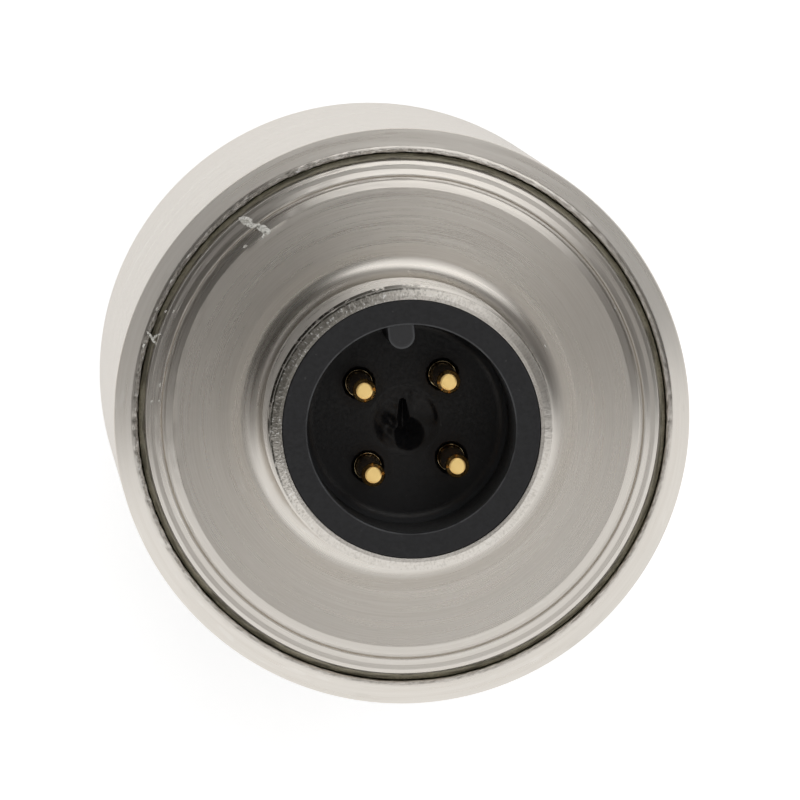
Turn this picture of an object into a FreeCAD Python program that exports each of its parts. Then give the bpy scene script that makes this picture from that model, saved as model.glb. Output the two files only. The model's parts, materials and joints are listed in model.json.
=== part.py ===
"""Pressure transmitter: G 1/4 A process stud, 24.5 mm round stainless body and a four-pin M12 connector.

It stands on the end of its stud with the connector up. Z = 0 is the stud's end face, +Z is the body's axis
and +Y points at the coding key of the connector. All sizes are in millimetres.
"""
import FreeCAD
import Part
import math
import os

V = FreeCAD.Vector
UP = V(0, 0, 1)

# ---- driving sizes -------------------------------------------------------------------------------------

# Process stud, G 1/4 A, with a profile ring in the collar's face
stud_d = 13.157
stud_length = 12.0
stud_chamfer = 1.2
stud_relief_depth = 0.88
stud_relief_length = 2.2
port_d = 6.0
port_chamfer = 0.6
collar_d = 18.9
collar_height = 1.8
collar_chamfer = 0.3
profile_ring_d = 16.5
profile_ring_thickness = 1.5
profile_ring_recess = 1.0
profile_ring_lip = 0.4

# Hexagon and the flange that closes the body
hex_sides = 6
hex_flats = 19.0
hex_height = 6.2
hex_chamfer_angle = 30.0
body_d = 24.5
flange_height = 4.0
flange_chamfer = 0.5
joint_chamfer = 0.15

# Pocket of the sensing cell, inside the register that the sleeve slides over
register_length = 9.5
register_bevel = 0.3
cell_seat_depth = 2.0
cell_d = 18.0
cell_height = 6.35
cell_notch_count = 3
cell_notch_r = 0.9
cell_seal_mean_d = 12.6
cell_seal_width = 1.9
cell_seal_height = 1.3
pressure_ring_thickness = 0.8
clamp_ledge = 0.8
clamp_overlap = 1.75
clamp_ring_height = 3.0
spanner_slot_width = 1.6
spanner_slot_depth = 1.0

# Sleeve
sleeve_length = 44.8
sleeve_wall = 1.0
sleeve_ledge = 0.4
sleeve_end_chamfer = 0.75
sleeve_lip_chamfer = 0.1
ledge_slack = 0.3

# Cap: a skirt in the sleeve, a beaded head and the M12 boss
cap_depth = 7.8
cap_face_rise = 0.7
cap_gap_width = 0.3
cap_gap_depth = 1.0
cap_top_thickness = 3.5
cap_skirt_wall = 1.47
head_edge_width = 0.25
head_edge_drop = 0.42
outer_bead_width = 0.3
outer_bead_drop = 0.14
bead_valley_width = 0.15
bead_valley_drop = 0.2
bead_step_width = 0.1
inner_bead_width = 0.35
inner_bead_drop = 0.1
boss_height = 11.5
boss_d = 12.0
boss_fillet = 0.8
boss_wall = 1.0
rim_step = 0.1
rim_length = 1.1
rim_chamfer = 0.15

# Seals between the sleeve and its two ends
body_seal_groove_depth = 0.75
body_seal_groove_width = 1.5
body_seal_width = 1.2
lower_seal_rise = 2.0
upper_seal_rise = 3.1

# Moulded contact carrier
carrier_head_overhang = 0.45
carrier_head_thickness = 1.2
carrier_recess = 0.05
carrier_edge_bevel = 0.1
carrier_wall = 0.6
cavity_depth = 8.5
key_width = 1.13
key_reach = 1.0
key_drop = 0.1
floor_recess_d = 3.0
floor_recess_depth = 0.8
floor_dimple_d = 1.2
floor_dimple_depth = 0.7
carrier_seal_groove_depth = 0.7
carrier_seal_groove_width = 1.5
carrier_seal_width = 1.25
carrier_seal_drop = 2.95
snap_ring_overlap = 1.3
snap_ring_thickness = 0.6
snap_ring_groove_depth = 0.5
snap_ring_opening = 5.0

# Contact pins
pin_count = 4
first_pin_angle = 45.0
pin_circle_d = 5.0
pin_d = 1.0
pin_tip_bevel = 0.25
pin_tip_drop = 0.7
pin_barb_d = 1.3
pin_barb_drop = 0.6
pin_barb_length = 2.0
pin_tail_d = 0.8
pin_tail_reach = 1.6

# Boards and what carries them
connector_board_margin = 1.75
board_thickness = 1.0
connector_board_lift = 0.2
holder_ring_height = 2.5
rail_depth = 2.45
rail_width = 4.8
rail_slot_depth = 1.0
rail_top_gap = 3.0
hoop_height = 1.5
main_board_edge_gap = 0.1
main_board_top_gap = 0.3
cell_pin_count = 4
cell_pin_pitch = 2.54
cell_pin_side = 0.5
cell_pin_length = 3.0
cell_pin_offset = 3.5
flex_margin = 0.99
flex_thickness = 0.2
flex_bend_r = 1.0
flex_lift = 2.0
flex_rise = 4.5
flex_overhang = 1.2
link_pin_count = 4
link_pin_pitch = 2.54
link_pin_side = 0.6
link_pin_lap = 4.0

# Parts on the main board: length along X, height along Z, thickness away from the board
processor_size = (7.0, 7.0, 1.4)
amplifier_size = (4.9, 6.0, 1.6)
regulator_size = (6.5, 6.7, 1.7)
diode_size = (3.6, 4.6, 2.2)
diode_count = 3
capacitor_size = (1.6, 3.2, 1.6)
capacitor_count = 4
resistor_size = (0.8, 1.6, 0.5)
resistor_count = 3
chip_bevel = 0.2
part_gap = 0.8
back_row_rise = 2.5

# Clearances and the small bevel on turned edges
slide_gap = 0.03
free_gap = 0.05
rail_gap = 0.4
edge_bevel = 0.2
overcut = 1.0

# ---- sizes and heights that follow ---------------------------------------------------------------------

collar_z = stud_length
hex_z = collar_z + collar_height
hex_corner_r = hex_flats / 2 / math.cos(math.pi / hex_sides)
stud_relief_d = stud_d - 2 * stud_relief_depth
flange_z = hex_z + hex_height
sleeve_z = flange_z + flange_height
register_top_z = sleeve_z + register_length
cell_z = flange_z + cell_seat_depth
cell_top_z = cell_z + cell_height
clamp_z = cell_top_z + pressure_ring_thickness
clamp_top_z = clamp_z + clamp_ring_height
clamp_bore_d = cell_d + 2 * clamp_ledge
clamp_bore_inner_d = cell_d - 2 * clamp_overlap
lower_seal_z = sleeve_z + lower_seal_rise

sleeve_bore_d = body_d - 2 * sleeve_wall
sleeve_waist_d = sleeve_bore_d - 2 * sleeve_ledge
sleeve_top_z = sleeve_z + sleeve_length
slide_d = sleeve_bore_d - 2 * slide_gap
body_seal_floor_d = slide_d - 2 * body_seal_groove_depth

cap_z = sleeve_top_z - cap_depth
cap_face_z = sleeve_top_z + cap_face_rise
cap_step_z = sleeve_top_z - cap_gap_depth
cap_ceiling_z = cap_face_z - cap_top_thickness
upper_seal_z = cap_z + upper_seal_rise
rim_z = cap_face_z + boss_height
cap_head_d = sleeve_bore_d - 2 * cap_gap_width
cap_bore_d = slide_d - 2 * cap_skirt_wall
outer_bead_r = cap_head_d / 2 - head_edge_width
bead_valley_r = outer_bead_r - outer_bead_width - bead_valley_width
inner_bead_r = bead_valley_r - bead_step_width
face_flat_r = inner_bead_r - inner_bead_width
rim_d = boss_d - 2 * rim_step

connector_board_z = cap_z + connector_board_lift
carrier_z = connector_board_z + board_thickness
carrier_top_z = rim_z - carrier_recess
carrier_shoulder_z = carrier_top_z - carrier_head_thickness
carrier_floor_z = carrier_top_z - cavity_depth
carrier_bore_d = boss_d - 2 * boss_wall
carrier_d = carrier_bore_d - 2 * free_gap
carrier_head_d = carrier_d + 2 * carrier_head_overhang
cavity_d = carrier_d - 2 * carrier_wall
carrier_seal_z = carrier_floor_z - carrier_seal_drop
pin_barb_top_z = carrier_floor_z - pin_barb_drop
pin_barb_z = pin_barb_top_z - pin_barb_length

holder_z = clamp_top_z
main_board_z = holder_z + holder_ring_height
main_board_top_z = connector_board_z - main_board_top_gap
rail_outer_r = sleeve_waist_d / 2 - rail_gap
rail_inner_r = rail_outer_r - rail_depth
rail_top_z = main_board_top_z - rail_top_gap
board_face_y = board_thickness / 2


# ---- shaping helpers -----------------------------------------------------------------------------------

def outline(corners):
    """Closed wire in the XZ plane through (radius, height) corners; a third value rounds that corner."""
    points = [V(corner[0], 0, corner[1]) for corner in corners]
    rounds = [corner[2] if len(corner) > 2 else 0 for corner in corners]
    count = len(points)
    starts, ends, arcs = [], [], []
    for i in range(count):
        here = points[i]
        back = (points[i - 1] - here).normalize()
        ahead = (points[(i + 1) % count] - here).normalize()
        half_angle = back.getAngle(ahead) / 2
        reach = rounds[i] / math.tan(half_angle) if rounds[i] else 0
        starts.append(here + back * reach)
        ends.append(here + ahead * reach)
        arc = None
        if rounds[i]:
            inward = (back + ahead).normalize()
            middle = here + inward * (rounds[i] / math.sin(half_angle) - rounds[i])
            arc = Part.Arc(starts[i], middle, ends[i]).toShape()
        arcs.append(arc)
    edges = []
    for i in range(count):
        if arcs[i]:
            edges.append(arcs[i])
        edges.append(Part.LineSegment(ends[i], starts[(i + 1) % count]).toShape())
    return Part.Wire(edges)


def turned(corners):
    """Solid of revolution about Z from a closed section."""
    return Part.Face(outline(corners)).revolve(V(0, 0, 0), UP, 360)


def disc(diameter, z_low, z_high, x=0.0, y=0.0):
    """Plain cylinder between two heights."""
    return Part.makeCylinder(diameter / 2, z_high - z_low, V(x, y, z_low))


def block(x_size, y_low, y_high, z_low, z_high, x=0.0):
    """Box that is centred on x."""
    return Part.makeBox(x_size, y_high - y_low, z_high - z_low, V(x - x_size / 2, y_low, z_low))


def squeezed_ring(inner_d, outer_d, z_low, z_high):
    """Seal ring pressed flat at its inner and outer seats, and bulging between them."""
    middle_r = (inner_d + outer_d) / 4
    shoulder = (z_high - z_low) / 4
    return turned([
        (inner_d / 2, z_low + shoulder),
        (middle_r, z_low),
        (outer_d / 2, z_low + shoulder),
        (outer_d / 2, z_high - shoulder),
        (middle_r, z_high),
        (inner_d / 2, z_high - shoulder),
    ])


def around(radius, index, count, start_angle):
    """Centre of one copy on a circle, with angles counted from +X towards +Y."""
    angle = math.radians(start_angle + 360.0 * index / count)
    return radius * math.cos(angle), radius * math.sin(angle)


def in_row(pitch, index, count):
    """X of one copy in a row that is centred on the axis."""
    return pitch * (index - (count - 1) / 2)


# ---- process end ---------------------------------------------------------------------------------------

def process_connection():
    """Stud, collar, hexagon, flange and the cup that holds the cell, turned from one bar."""
    relief_z = collar_z - stud_relief_length
    recess_r = profile_ring_d / 2 + free_gap
    recess_z = collar_z + profile_ring_recess
    groove_low_z = lower_seal_z - body_seal_groove_width / 2
    groove_high_z = lower_seal_z + body_seal_groove_width / 2
    cell_groove_inner_r = (cell_seal_mean_d - cell_seal_width) / 2 - free_gap
    cell_groove_outer_r = (cell_seal_mean_d + cell_seal_width) / 2 + free_gap
    body = turned([
        (port_d / 2 + port_chamfer, 0),
        (stud_d / 2 - stud_chamfer, 0),
        (stud_d / 2, stud_chamfer),
        (stud_d / 2, relief_z - (stud_d - stud_relief_d) / 2),
        (stud_relief_d / 2, relief_z),
        (stud_relief_d / 2, recess_z),
        (recess_r, recess_z),
        (recess_r, collar_z),
        (collar_d / 2 - collar_chamfer, collar_z),
        (collar_d / 2, collar_z + collar_chamfer),
        (collar_d / 2, hex_z),
        (hex_corner_r, hex_z),
        (hex_corner_r, flange_z),
        (body_d / 2 - flange_chamfer, flange_z),
        (body_d / 2, flange_z + flange_chamfer),
        (body_d / 2, sleeve_z - joint_chamfer),
        (body_d / 2 - joint_chamfer, sleeve_z),
        (slide_d / 2, sleeve_z),
        (slide_d / 2, groove_low_z),
        (body_seal_floor_d / 2, groove_low_z),
        (body_seal_floor_d / 2, groove_high_z),
        (slide_d / 2, groove_high_z),
        (slide_d / 2, register_top_z - register_bevel),
        (slide_d / 2 - register_bevel, register_top_z),
        (clamp_bore_d / 2, register_top_z),
        (clamp_bore_d / 2, cell_top_z),
        (cell_d / 2 + free_gap, cell_top_z),
        (cell_d / 2 + free_gap, cell_z),
        (cell_groove_outer_r, cell_z),
        (cell_groove_outer_r, cell_z - cell_seal_height),
        (cell_groove_inner_r, cell_z - cell_seal_height),
        (cell_groove_inner_r, cell_z),
        (port_d / 2, cell_z),
        (port_d / 2, port_chamfer),
    ])
    return body.cut(hexagon_waste())


def hexagon_waste():
    """What is milled away from the round bar to leave the hexagon with its turned corner chamfers."""
    bar = disc(2 * (hex_corner_r + overcut), hex_z, flange_z)
    corners = [V(*around(hex_corner_r, i, hex_sides, 0), hex_z) for i in range(hex_sides + 1)]
    prism = Part.Face(Part.makePolygon(corners)).extrude(UP * hex_height)
    corner_drop = (hex_corner_r - hex_flats / 2) * math.tan(math.radians(hex_chamfer_angle))
    barrel = turned([
        (0, hex_z),
        (hex_flats / 2, hex_z),
        (hex_corner_r, hex_z + corner_drop),
        (hex_corner_r, flange_z - corner_drop),
        (hex_flats / 2, flange_z),
        (0, flange_z),
    ])
    return bar.cut(prism.common(barrel))


def thread_seal_ring():
    """Moulded profile ring: flat in its recess, with a bevelled lip that stands proud of the collar."""
    inner_r = stud_relief_d / 2 + free_gap
    outer_r = profile_ring_d / 2
    top_z = collar_z + profile_ring_recess
    low_z = top_z - profile_ring_thickness
    return turned([
        (inner_r + profile_ring_lip, low_z),
        (outer_r - profile_ring_lip, low_z),
        (outer_r, low_z + profile_ring_lip),
        (outer_r, top_z),
        (inner_r, top_z),
        (inner_r, low_z + profile_ring_lip),
    ])


def cell_o_ring():
    """Face seal between the cell and the pocket's floor."""
    inner_r = (cell_seal_mean_d - cell_seal_width) / 2
    outer_r = (cell_seal_mean_d + cell_seal_width) / 2
    shoulder = cell_seal_width / 4
    middle_z = cell_z - cell_seal_height / 2
    low_z = cell_z - cell_seal_height
    return turned([
        (inner_r, middle_z),
        (inner_r + shoulder, low_z),
        (outer_r - shoulder, low_z),
        (outer_r, middle_z),
        (outer_r - shoulder, cell_z),
        (inner_r + shoulder, cell_z),
    ])


def ceramic_cell():
    """Solid ceramic disc with three locating notches in its edge."""
    cell = disc(cell_d, cell_z, cell_top_z)
    notches = []
    for i in range(cell_notch_count):
        x, y = around(cell_d / 2, i, cell_notch_count, 90)
        notches.append(disc(2 * cell_notch_r, cell_z, cell_top_z, x, y))
    return cell.cut(notches)


def cell_pressure_ring():
    """Plastic ring that spreads the clamping force on the ceramic."""
    ring = disc(cell_d, cell_top_z, clamp_z)
    return ring.cut(disc(clamp_bore_inner_d, cell_top_z, clamp_z))


def cell_clamp_ring():
    """Threaded ring, with four spanner slots in its top face."""
    inner_r = clamp_bore_inner_d / 2
    outer_r = clamp_bore_d / 2 - free_gap
    ring = turned([
        (inner_r, clamp_z),
        (outer_r - edge_bevel, clamp_z),
        (outer_r, clamp_z + edge_bevel),
        (outer_r, clamp_top_z - edge_bevel),
        (outer_r - edge_bevel, clamp_top_z),
        (inner_r, clamp_top_z),
    ])
    slot_half = spanner_slot_width / 2
    slot = block(2 * outer_r, -slot_half, slot_half, clamp_top_z - spanner_slot_depth, clamp_top_z)
    crossed = slot.copy()
    crossed.rotate(V(0, 0, 0), UP, 90)
    return ring.cut([slot, crossed])


# ---- body ----------------------------------------------------------------------------------------------

def body_seal(middle_z):
    """Seal ring between the sleeve's bore and the groove in the register or in the cap's skirt."""
    half = body_seal_width / 2
    return squeezed_ring(body_seal_floor_d, sleeve_bore_d, middle_z - half, middle_z + half)


def housing_sleeve():
    """Turned tube: both ends are counterbored, and the ledge of the waist between them stops the cap."""
    outer_r = body_d / 2
    bore_r = sleeve_bore_d / 2
    waist_r = sleeve_waist_d / 2
    lower_ledge_z = register_top_z + ledge_slack
    return turned([
        (bore_r, sleeve_z),
        (outer_r - joint_chamfer, sleeve_z),
        (outer_r, sleeve_z + joint_chamfer),
        (outer_r, sleeve_top_z - sleeve_end_chamfer),
        (outer_r - sleeve_end_chamfer, sleeve_top_z),
        (bore_r + sleeve_lip_chamfer, sleeve_top_z),
        (bore_r, sleeve_top_z - sleeve_lip_chamfer),
        (bore_r, cap_z),
        (waist_r, cap_z),
        (waist_r, lower_ledge_z),
        (bore_r, lower_ledge_z),
    ])


# ---- connector end -------------------------------------------------------------------------------------

def connector_cap():
    """Skirt with a seal groove, a head with two beads round its face, and the boss for the M12 nut."""
    groove_low_z = upper_seal_z - body_seal_groove_width / 2
    groove_high_z = upper_seal_z + body_seal_groove_width / 2
    boss_r = boss_d / 2
    rim_r = rim_d / 2
    counterbore_r = carrier_head_d / 2 + free_gap
    return turned([
        (cap_bore_d / 2, cap_z),
        (slide_d / 2 - edge_bevel, cap_z),
        (slide_d / 2, cap_z + edge_bevel),
        (slide_d / 2, groove_low_z),
        (body_seal_floor_d / 2, groove_low_z),
        (body_seal_floor_d / 2, groove_high_z),
        (slide_d / 2, groove_high_z),
        (slide_d / 2, cap_step_z),
        (cap_head_d / 2, cap_step_z),
        (cap_head_d / 2, cap_face_z - head_edge_drop),
        (outer_bead_r, cap_face_z - outer_bead_drop),
        (outer_bead_r - outer_bead_width, cap_face_z - outer_bead_drop),
        (bead_valley_r, cap_face_z - bead_valley_drop),
        (inner_bead_r, cap_face_z - inner_bead_drop),
        (face_flat_r, cap_face_z),
        (boss_r, cap_face_z, boss_fillet),
        (boss_r, rim_z - rim_length),
        (rim_r, rim_z - rim_length + (boss_r - rim_r)),
        (rim_r, rim_z - rim_chamfer),
        (rim_r - rim_chamfer, rim_z),
        (counterbore_r, rim_z),
        (counterbore_r, carrier_shoulder_z),
        (carrier_bore_d / 2, carrier_shoulder_z),
        (carrier_bore_d / 2, cap_ceiling_z),
        (cap_bore_d / 2, cap_ceiling_z),
    ])


def contact_carrier():
    """Moulded insert: a cup with its key, a thick floor with the pin holes, and grooves for two rings."""
    head_r = carrier_head_d / 2
    body_r = carrier_d / 2
    seal_groove_r = body_r - carrier_seal_groove_depth
    snap_groove_r = body_r - snap_ring_groove_depth
    snap_low_z = cap_ceiling_z - snap_ring_thickness - free_gap
    recess_z = carrier_floor_z - floor_recess_depth
    body = turned([
        (0, carrier_z),
        (body_r, carrier_z),
        (body_r, snap_low_z),
        (snap_groove_r, snap_low_z),
        (snap_groove_r, cap_ceiling_z),
        (body_r, cap_ceiling_z),
        (body_r, carrier_seal_z - carrier_seal_groove_width / 2),
        (seal_groove_r, carrier_seal_z - carrier_seal_groove_width / 2),
        (seal_groove_r, carrier_seal_z + carrier_seal_groove_width / 2),
        (body_r, carrier_seal_z + carrier_seal_groove_width / 2),
        (body_r, carrier_shoulder_z),
        (head_r, carrier_shoulder_z),
        (head_r, carrier_top_z - carrier_edge_bevel),
        (head_r - carrier_edge_bevel, carrier_top_z),
        (cavity_d / 2, carrier_top_z),
        (cavity_d / 2, carrier_floor_z),
        (floor_recess_d / 2, carrier_floor_z),
        (floor_recess_d / 2, recess_z),
        (floor_dimple_d / 2, recess_z),
        (0, recess_z - floor_dimple_depth),
    ])
    body = body.fuse(coding_key())
    holes = []
    for i in range(pin_count):
        x, y = around(pin_circle_d / 2, i, pin_count, first_pin_angle)
        holes.append(disc(pin_barb_d + 2 * slide_gap, pin_barb_z, carrier_floor_z + overcut, x, y))
        holes.append(disc(pin_tail_d + 2 * slide_gap, carrier_z - overcut, pin_barb_z, x, y))
    return body.cut(holes).removeSplitter()


def coding_key():
    """Key on the cavity's wall, as deep as the cavity, with a half-round nose towards the axis."""
    root_y = (cavity_d + carrier_d) / 4
    half = key_width / 2
    nose_y = cavity_d / 2 - key_reach + half
    section = Part.Wire([
        Part.LineSegment(V(half, root_y, 0), V(half, nose_y, 0)).toShape(),
        Part.Arc(V(half, nose_y, 0), V(0, nose_y - half, 0), V(-half, nose_y, 0)).toShape(),
        Part.LineSegment(V(-half, nose_y, 0), V(-half, root_y, 0)).toShape(),
        Part.LineSegment(V(-half, root_y, 0), V(half, root_y, 0)).toShape(),
    ])
    section.translate(UP * carrier_floor_z)
    return Part.Face(section).extrude(UP * (cavity_depth - key_drop))


def contact_pin(index):
    """Turned pin: bevelled tip, long shank, a barb that stops in the carrier, and a solder tail."""
    tip_z = rim_z - pin_tip_drop
    pin = turned([
        (0, connector_board_z - pin_tail_reach),
        (pin_tail_d / 2, connector_board_z - pin_tail_reach),
        (pin_tail_d / 2, pin_barb_z),
        (pin_barb_d / 2, pin_barb_z),
        (pin_barb_d / 2, pin_barb_top_z),
        (pin_d / 2, pin_barb_top_z),
        (pin_d / 2, tip_z - pin_tip_bevel),
        (pin_d / 2 - pin_tip_bevel, tip_z),
        (0, tip_z),
    ])
    x, y = around(pin_circle_d / 2, index, pin_count, first_pin_angle)
    pin.translate(V(x, y, 0))
    return pin


def carrier_o_ring():
    """Seal ring between the carrier and the cap's bore."""
    half = carrier_seal_width / 2
    floor_d = carrier_d - 2 * carrier_seal_groove_depth
    return squeezed_ring(floor_d, carrier_bore_d, carrier_seal_z - half, carrier_seal_z + half)


def carrier_snap_ring():
    """Open spring ring in the carrier's groove, under the cap's ceiling."""
    inner_d = carrier_d - 2 * snap_ring_groove_depth + 2 * slide_gap
    outer_d = carrier_bore_d + 2 * snap_ring_overlap
    low_z = cap_ceiling_z - snap_ring_thickness
    ring = disc(outer_d, low_z, cap_ceiling_z).cut(disc(inner_d, low_z, cap_ceiling_z))
    return ring.cut(block(snap_ring_opening, 0, outer_d, low_z, cap_ceiling_z))


# ---- boards --------------------------------------------------------------------------------------------

def connector_board():
    """Round board on the tails of the contact pins, against the carrier's back."""
    board = disc(cap_bore_d - 2 * connector_board_margin, connector_board_z, carrier_z)
    hole_d = pin_tail_d + 2 * free_gap
    holes = []
    for i in range(pin_count):
        x, y = around(pin_circle_d / 2, i, pin_count, first_pin_angle)
        holes.append(disc(hole_d, connector_board_z, carrier_z, x, y))
    return board.cut(holes)


def main_board():
    """Upright board in the holder's slots."""
    half_width = rail_inner_r + rail_slot_depth - main_board_edge_gap
    return block(2 * half_width, -board_face_y, board_face_y, main_board_z, main_board_top_z)


def board_holder():
    """Moulded ring on the clamp ring, with two slotted rails that a hoop joins at the top."""
    ring = disc(clamp_bore_d - 2 * free_gap, holder_z, main_board_z)
    ring = ring.cut(disc(clamp_bore_inner_d, holder_z, main_board_z))
    rail_z = register_top_z + ledge_slack
    slot_r = rail_inner_r + rail_slot_depth
    tube = disc(2 * rail_outer_r, rail_z, rail_top_z).cut(disc(2 * rail_inner_r, rail_z, rail_top_z))
    rails = tube.common(block(2 * rail_outer_r, -rail_width / 2, rail_width / 2, rail_z, rail_top_z))
    hoop_z = rail_top_z - hoop_height
    hoop = disc(2 * rail_outer_r, hoop_z, rail_top_z).cut(disc(2 * slot_r, hoop_z, rail_top_z))
    slot_half = board_face_y + main_board_edge_gap / 2
    slot = block(2 * slot_r, -slot_half, slot_half, main_board_z, rail_top_z)
    return ring.fuse([rails, hoop]).removeSplitter().cut(slot)


def cell_pin(index):
    """Square terminal pin that stands on the cell's back."""
    x = in_row(cell_pin_pitch, index, cell_pin_count)
    low_y = -cell_pin_offset - cell_pin_side / 2
    return block(cell_pin_side, low_y, low_y + cell_pin_side, cell_top_z, cell_top_z + cell_pin_length, x)


def sensor_flex():
    """Flexible strip: flat over the cell's pins, then up the face of the main board."""
    low_z = cell_top_z + flex_lift
    high_z = low_z + flex_thickness
    outer_y = board_face_y + flex_thickness
    start_y = -cell_pin_offset - flex_overhang
    flex_width = (cell_pin_count - 1) * cell_pin_pitch + 2 * flex_margin
    top_z = main_board_z + flex_rise
    section = outline([
        (start_y, low_z),
        (outer_y, low_z, flex_bend_r + flex_thickness),
        (outer_y, top_z),
        (board_face_y, top_z),
        (board_face_y, high_z, flex_bend_r),
        (start_y, high_z),
    ])
    strip = Part.Face(section).extrude(V(0, flex_width, 0))
    strip.translate(V(0, -flex_width / 2, 0))
    strip.rotate(V(0, 0, 0), UP, 90)
    hole = cell_pin_side + 2 * slide_gap
    hole_y = -cell_pin_offset - hole / 2
    for i in range(cell_pin_count):
        x = in_row(cell_pin_pitch, i, cell_pin_count)
        strip = strip.cut(block(hole, hole_y, hole_y + hole, low_z, high_z, x))
    return strip


def board_link_pin(index):
    """Square pin soldered under the connector board and along the main board's face."""
    x = in_row(link_pin_pitch, index, link_pin_count)
    low_z = main_board_top_z - link_pin_lap
    return block(link_pin_side, board_face_y, board_face_y + link_pin_side, low_z, connector_board_z, x)


def package(size, x, low_z, side=1):
    """Bevelled package on the front (side 1) or back (side -1) of the main board, its foot at low_z."""
    x_size, z_size, depth = size
    high_y = board_face_y + depth
    body = block(x_size, board_face_y, high_y, low_z, low_z + z_size, x)
    outer_edges = [edge for edge in body.Edges if abs(edge.CenterOfMass.y - high_y) < chip_bevel]
    body = body.makeChamfer(chip_bevel, outer_edges)
    if side < 0:
        body.rotate(V(x, 0, 0), UP, 180)
    return body


def front_packages():
    """Signal processor, with the row of capacitors above it."""
    processor_z = main_board_z + flex_rise + part_gap
    capacitor_z = processor_z + processor_size[1] + part_gap
    pitch = capacitor_size[0] + part_gap
    parts = {"signal_processor": package(processor_size, 0.0, processor_z)}
    for i in range(capacitor_count):
        x = in_row(pitch, i, capacitor_count)
        parts[f"capacitor_{i + 1}"] = package(capacitor_size, x, capacitor_z)
    return parts


def back_packages():
    """Loop amplifier beside its resistors, then the voltage regulator, then the surge diodes."""
    first_z = main_board_z + back_row_rise
    regulator_z = first_z + amplifier_size[1] + part_gap
    diode_z = regulator_z + regulator_size[1] + part_gap
    amplifier_x = -(amplifier_size[0] + part_gap) / 2
    resistor_pitch = resistor_size[0] + part_gap
    diode_pitch = diode_size[0] + part_gap
    parts = {
        "loop_amplifier": package(amplifier_size, amplifier_x, first_z, -1),
        "voltage_regulator": package(regulator_size, 0.0, regulator_z, -1),
    }
    for i in range(resistor_count):
        x = part_gap + i * resistor_pitch
        parts[f"resistor_{i + 1}"] = package(resistor_size, x, first_z, -1)
    for i in range(diode_count):
        parts[f"surge_diode_{i + 1}"] = package(diode_size, in_row(diode_pitch, i, diode_count), diode_z, -1)
    return parts


# ---- export --------------------------------------------------------------------------------------------

def all_parts():
    """Every node's name with its solid."""
    parts = {
        "process_connection": process_connection(),
        "thread_seal_ring": thread_seal_ring(),
        "cell_o_ring": cell_o_ring(),
        "ceramic_cell": ceramic_cell(),
        "cell_pressure_ring": cell_pressure_ring(),
        "cell_clamp_ring": cell_clamp_ring(),
        "sensor_flex": sensor_flex(),
        "board_holder": board_holder(),
        "main_board": main_board(),
        "connector_board": connector_board(),
        "housing_sleeve": housing_sleeve(),
        "lower_o_ring": body_seal(lower_seal_z),
        "upper_o_ring": body_seal(upper_seal_z),
        "connector_cap": connector_cap(),
        "contact_carrier": contact_carrier(),
        "carrier_o_ring": carrier_o_ring(),
        "carrier_snap_ring": carrier_snap_ring(),
    }
    parts.update(front_packages())
    parts.update(back_packages())
    for i in range(cell_pin_count):
        parts[f"cell_pin_{i + 1}"] = cell_pin(i)
    for i in range(link_pin_count):
        parts[f"board_link_pin_{i + 1}"] = board_link_pin(i)
    for i in range(pin_count):
        parts[f"contact_pin_{i + 1}"] = contact_pin(i)
    return parts


os.makedirs("parts", exist_ok=True)
for name, shape in all_parts().items():
    shape.exportStep(f"parts/{name}.step")
    print(f"{name}: {len(shape.Solids)} solid, {shape.Volume:.2f} mm3, valid {shape.isValid()}")
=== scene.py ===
import bpy
import json
import math
import numpy as np
from mathutils import Matrix, Vector
from types import SimpleNamespace


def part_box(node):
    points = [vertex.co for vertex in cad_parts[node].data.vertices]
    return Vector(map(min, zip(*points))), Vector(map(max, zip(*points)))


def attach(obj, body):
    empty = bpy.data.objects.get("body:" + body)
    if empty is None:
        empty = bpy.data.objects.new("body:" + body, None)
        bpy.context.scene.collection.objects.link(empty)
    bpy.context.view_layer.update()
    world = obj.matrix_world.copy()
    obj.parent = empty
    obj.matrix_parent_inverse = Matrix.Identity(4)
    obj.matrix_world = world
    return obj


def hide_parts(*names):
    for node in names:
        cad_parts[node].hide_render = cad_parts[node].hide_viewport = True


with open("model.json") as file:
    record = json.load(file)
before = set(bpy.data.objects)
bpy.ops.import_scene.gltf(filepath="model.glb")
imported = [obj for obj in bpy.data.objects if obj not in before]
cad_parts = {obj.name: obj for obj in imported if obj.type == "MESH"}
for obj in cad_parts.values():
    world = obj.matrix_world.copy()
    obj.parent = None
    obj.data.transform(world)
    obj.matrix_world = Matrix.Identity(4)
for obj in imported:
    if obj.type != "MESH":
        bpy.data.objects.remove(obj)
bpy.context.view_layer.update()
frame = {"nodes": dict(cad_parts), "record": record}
nodes = frame["nodes"]
perMetre = 1000.0  # shapes are worked out in millimetres and written in metres
fullTurn = 2 * math.pi
print("frame loaded,", len(nodes), "nodes")


# Sizes read from the frame

def reach(nodeName):
    # Lowest height, highest height and outer radius of a round CAD node, in millimetres
    low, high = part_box(nodeName)
    return low.z * perMetre, high.z * perMetre, high.x * perMetre


capLow, rimTop = reach("connector_cap")[:2]
sleeveLow, sleeveTop, bodyRadius = reach("housing_sleeve")
carrierLow, carrierTop, carrierHeadRadius = reach("contact_carrier")
socketDepth = 8.5
insertFloor = carrierTop - socketDepth
registerTop, flangeRadius = reach("process_connection")[1:]


# Shape helpers: every piece is a grid of points, rows along a path and columns round an axis

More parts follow.
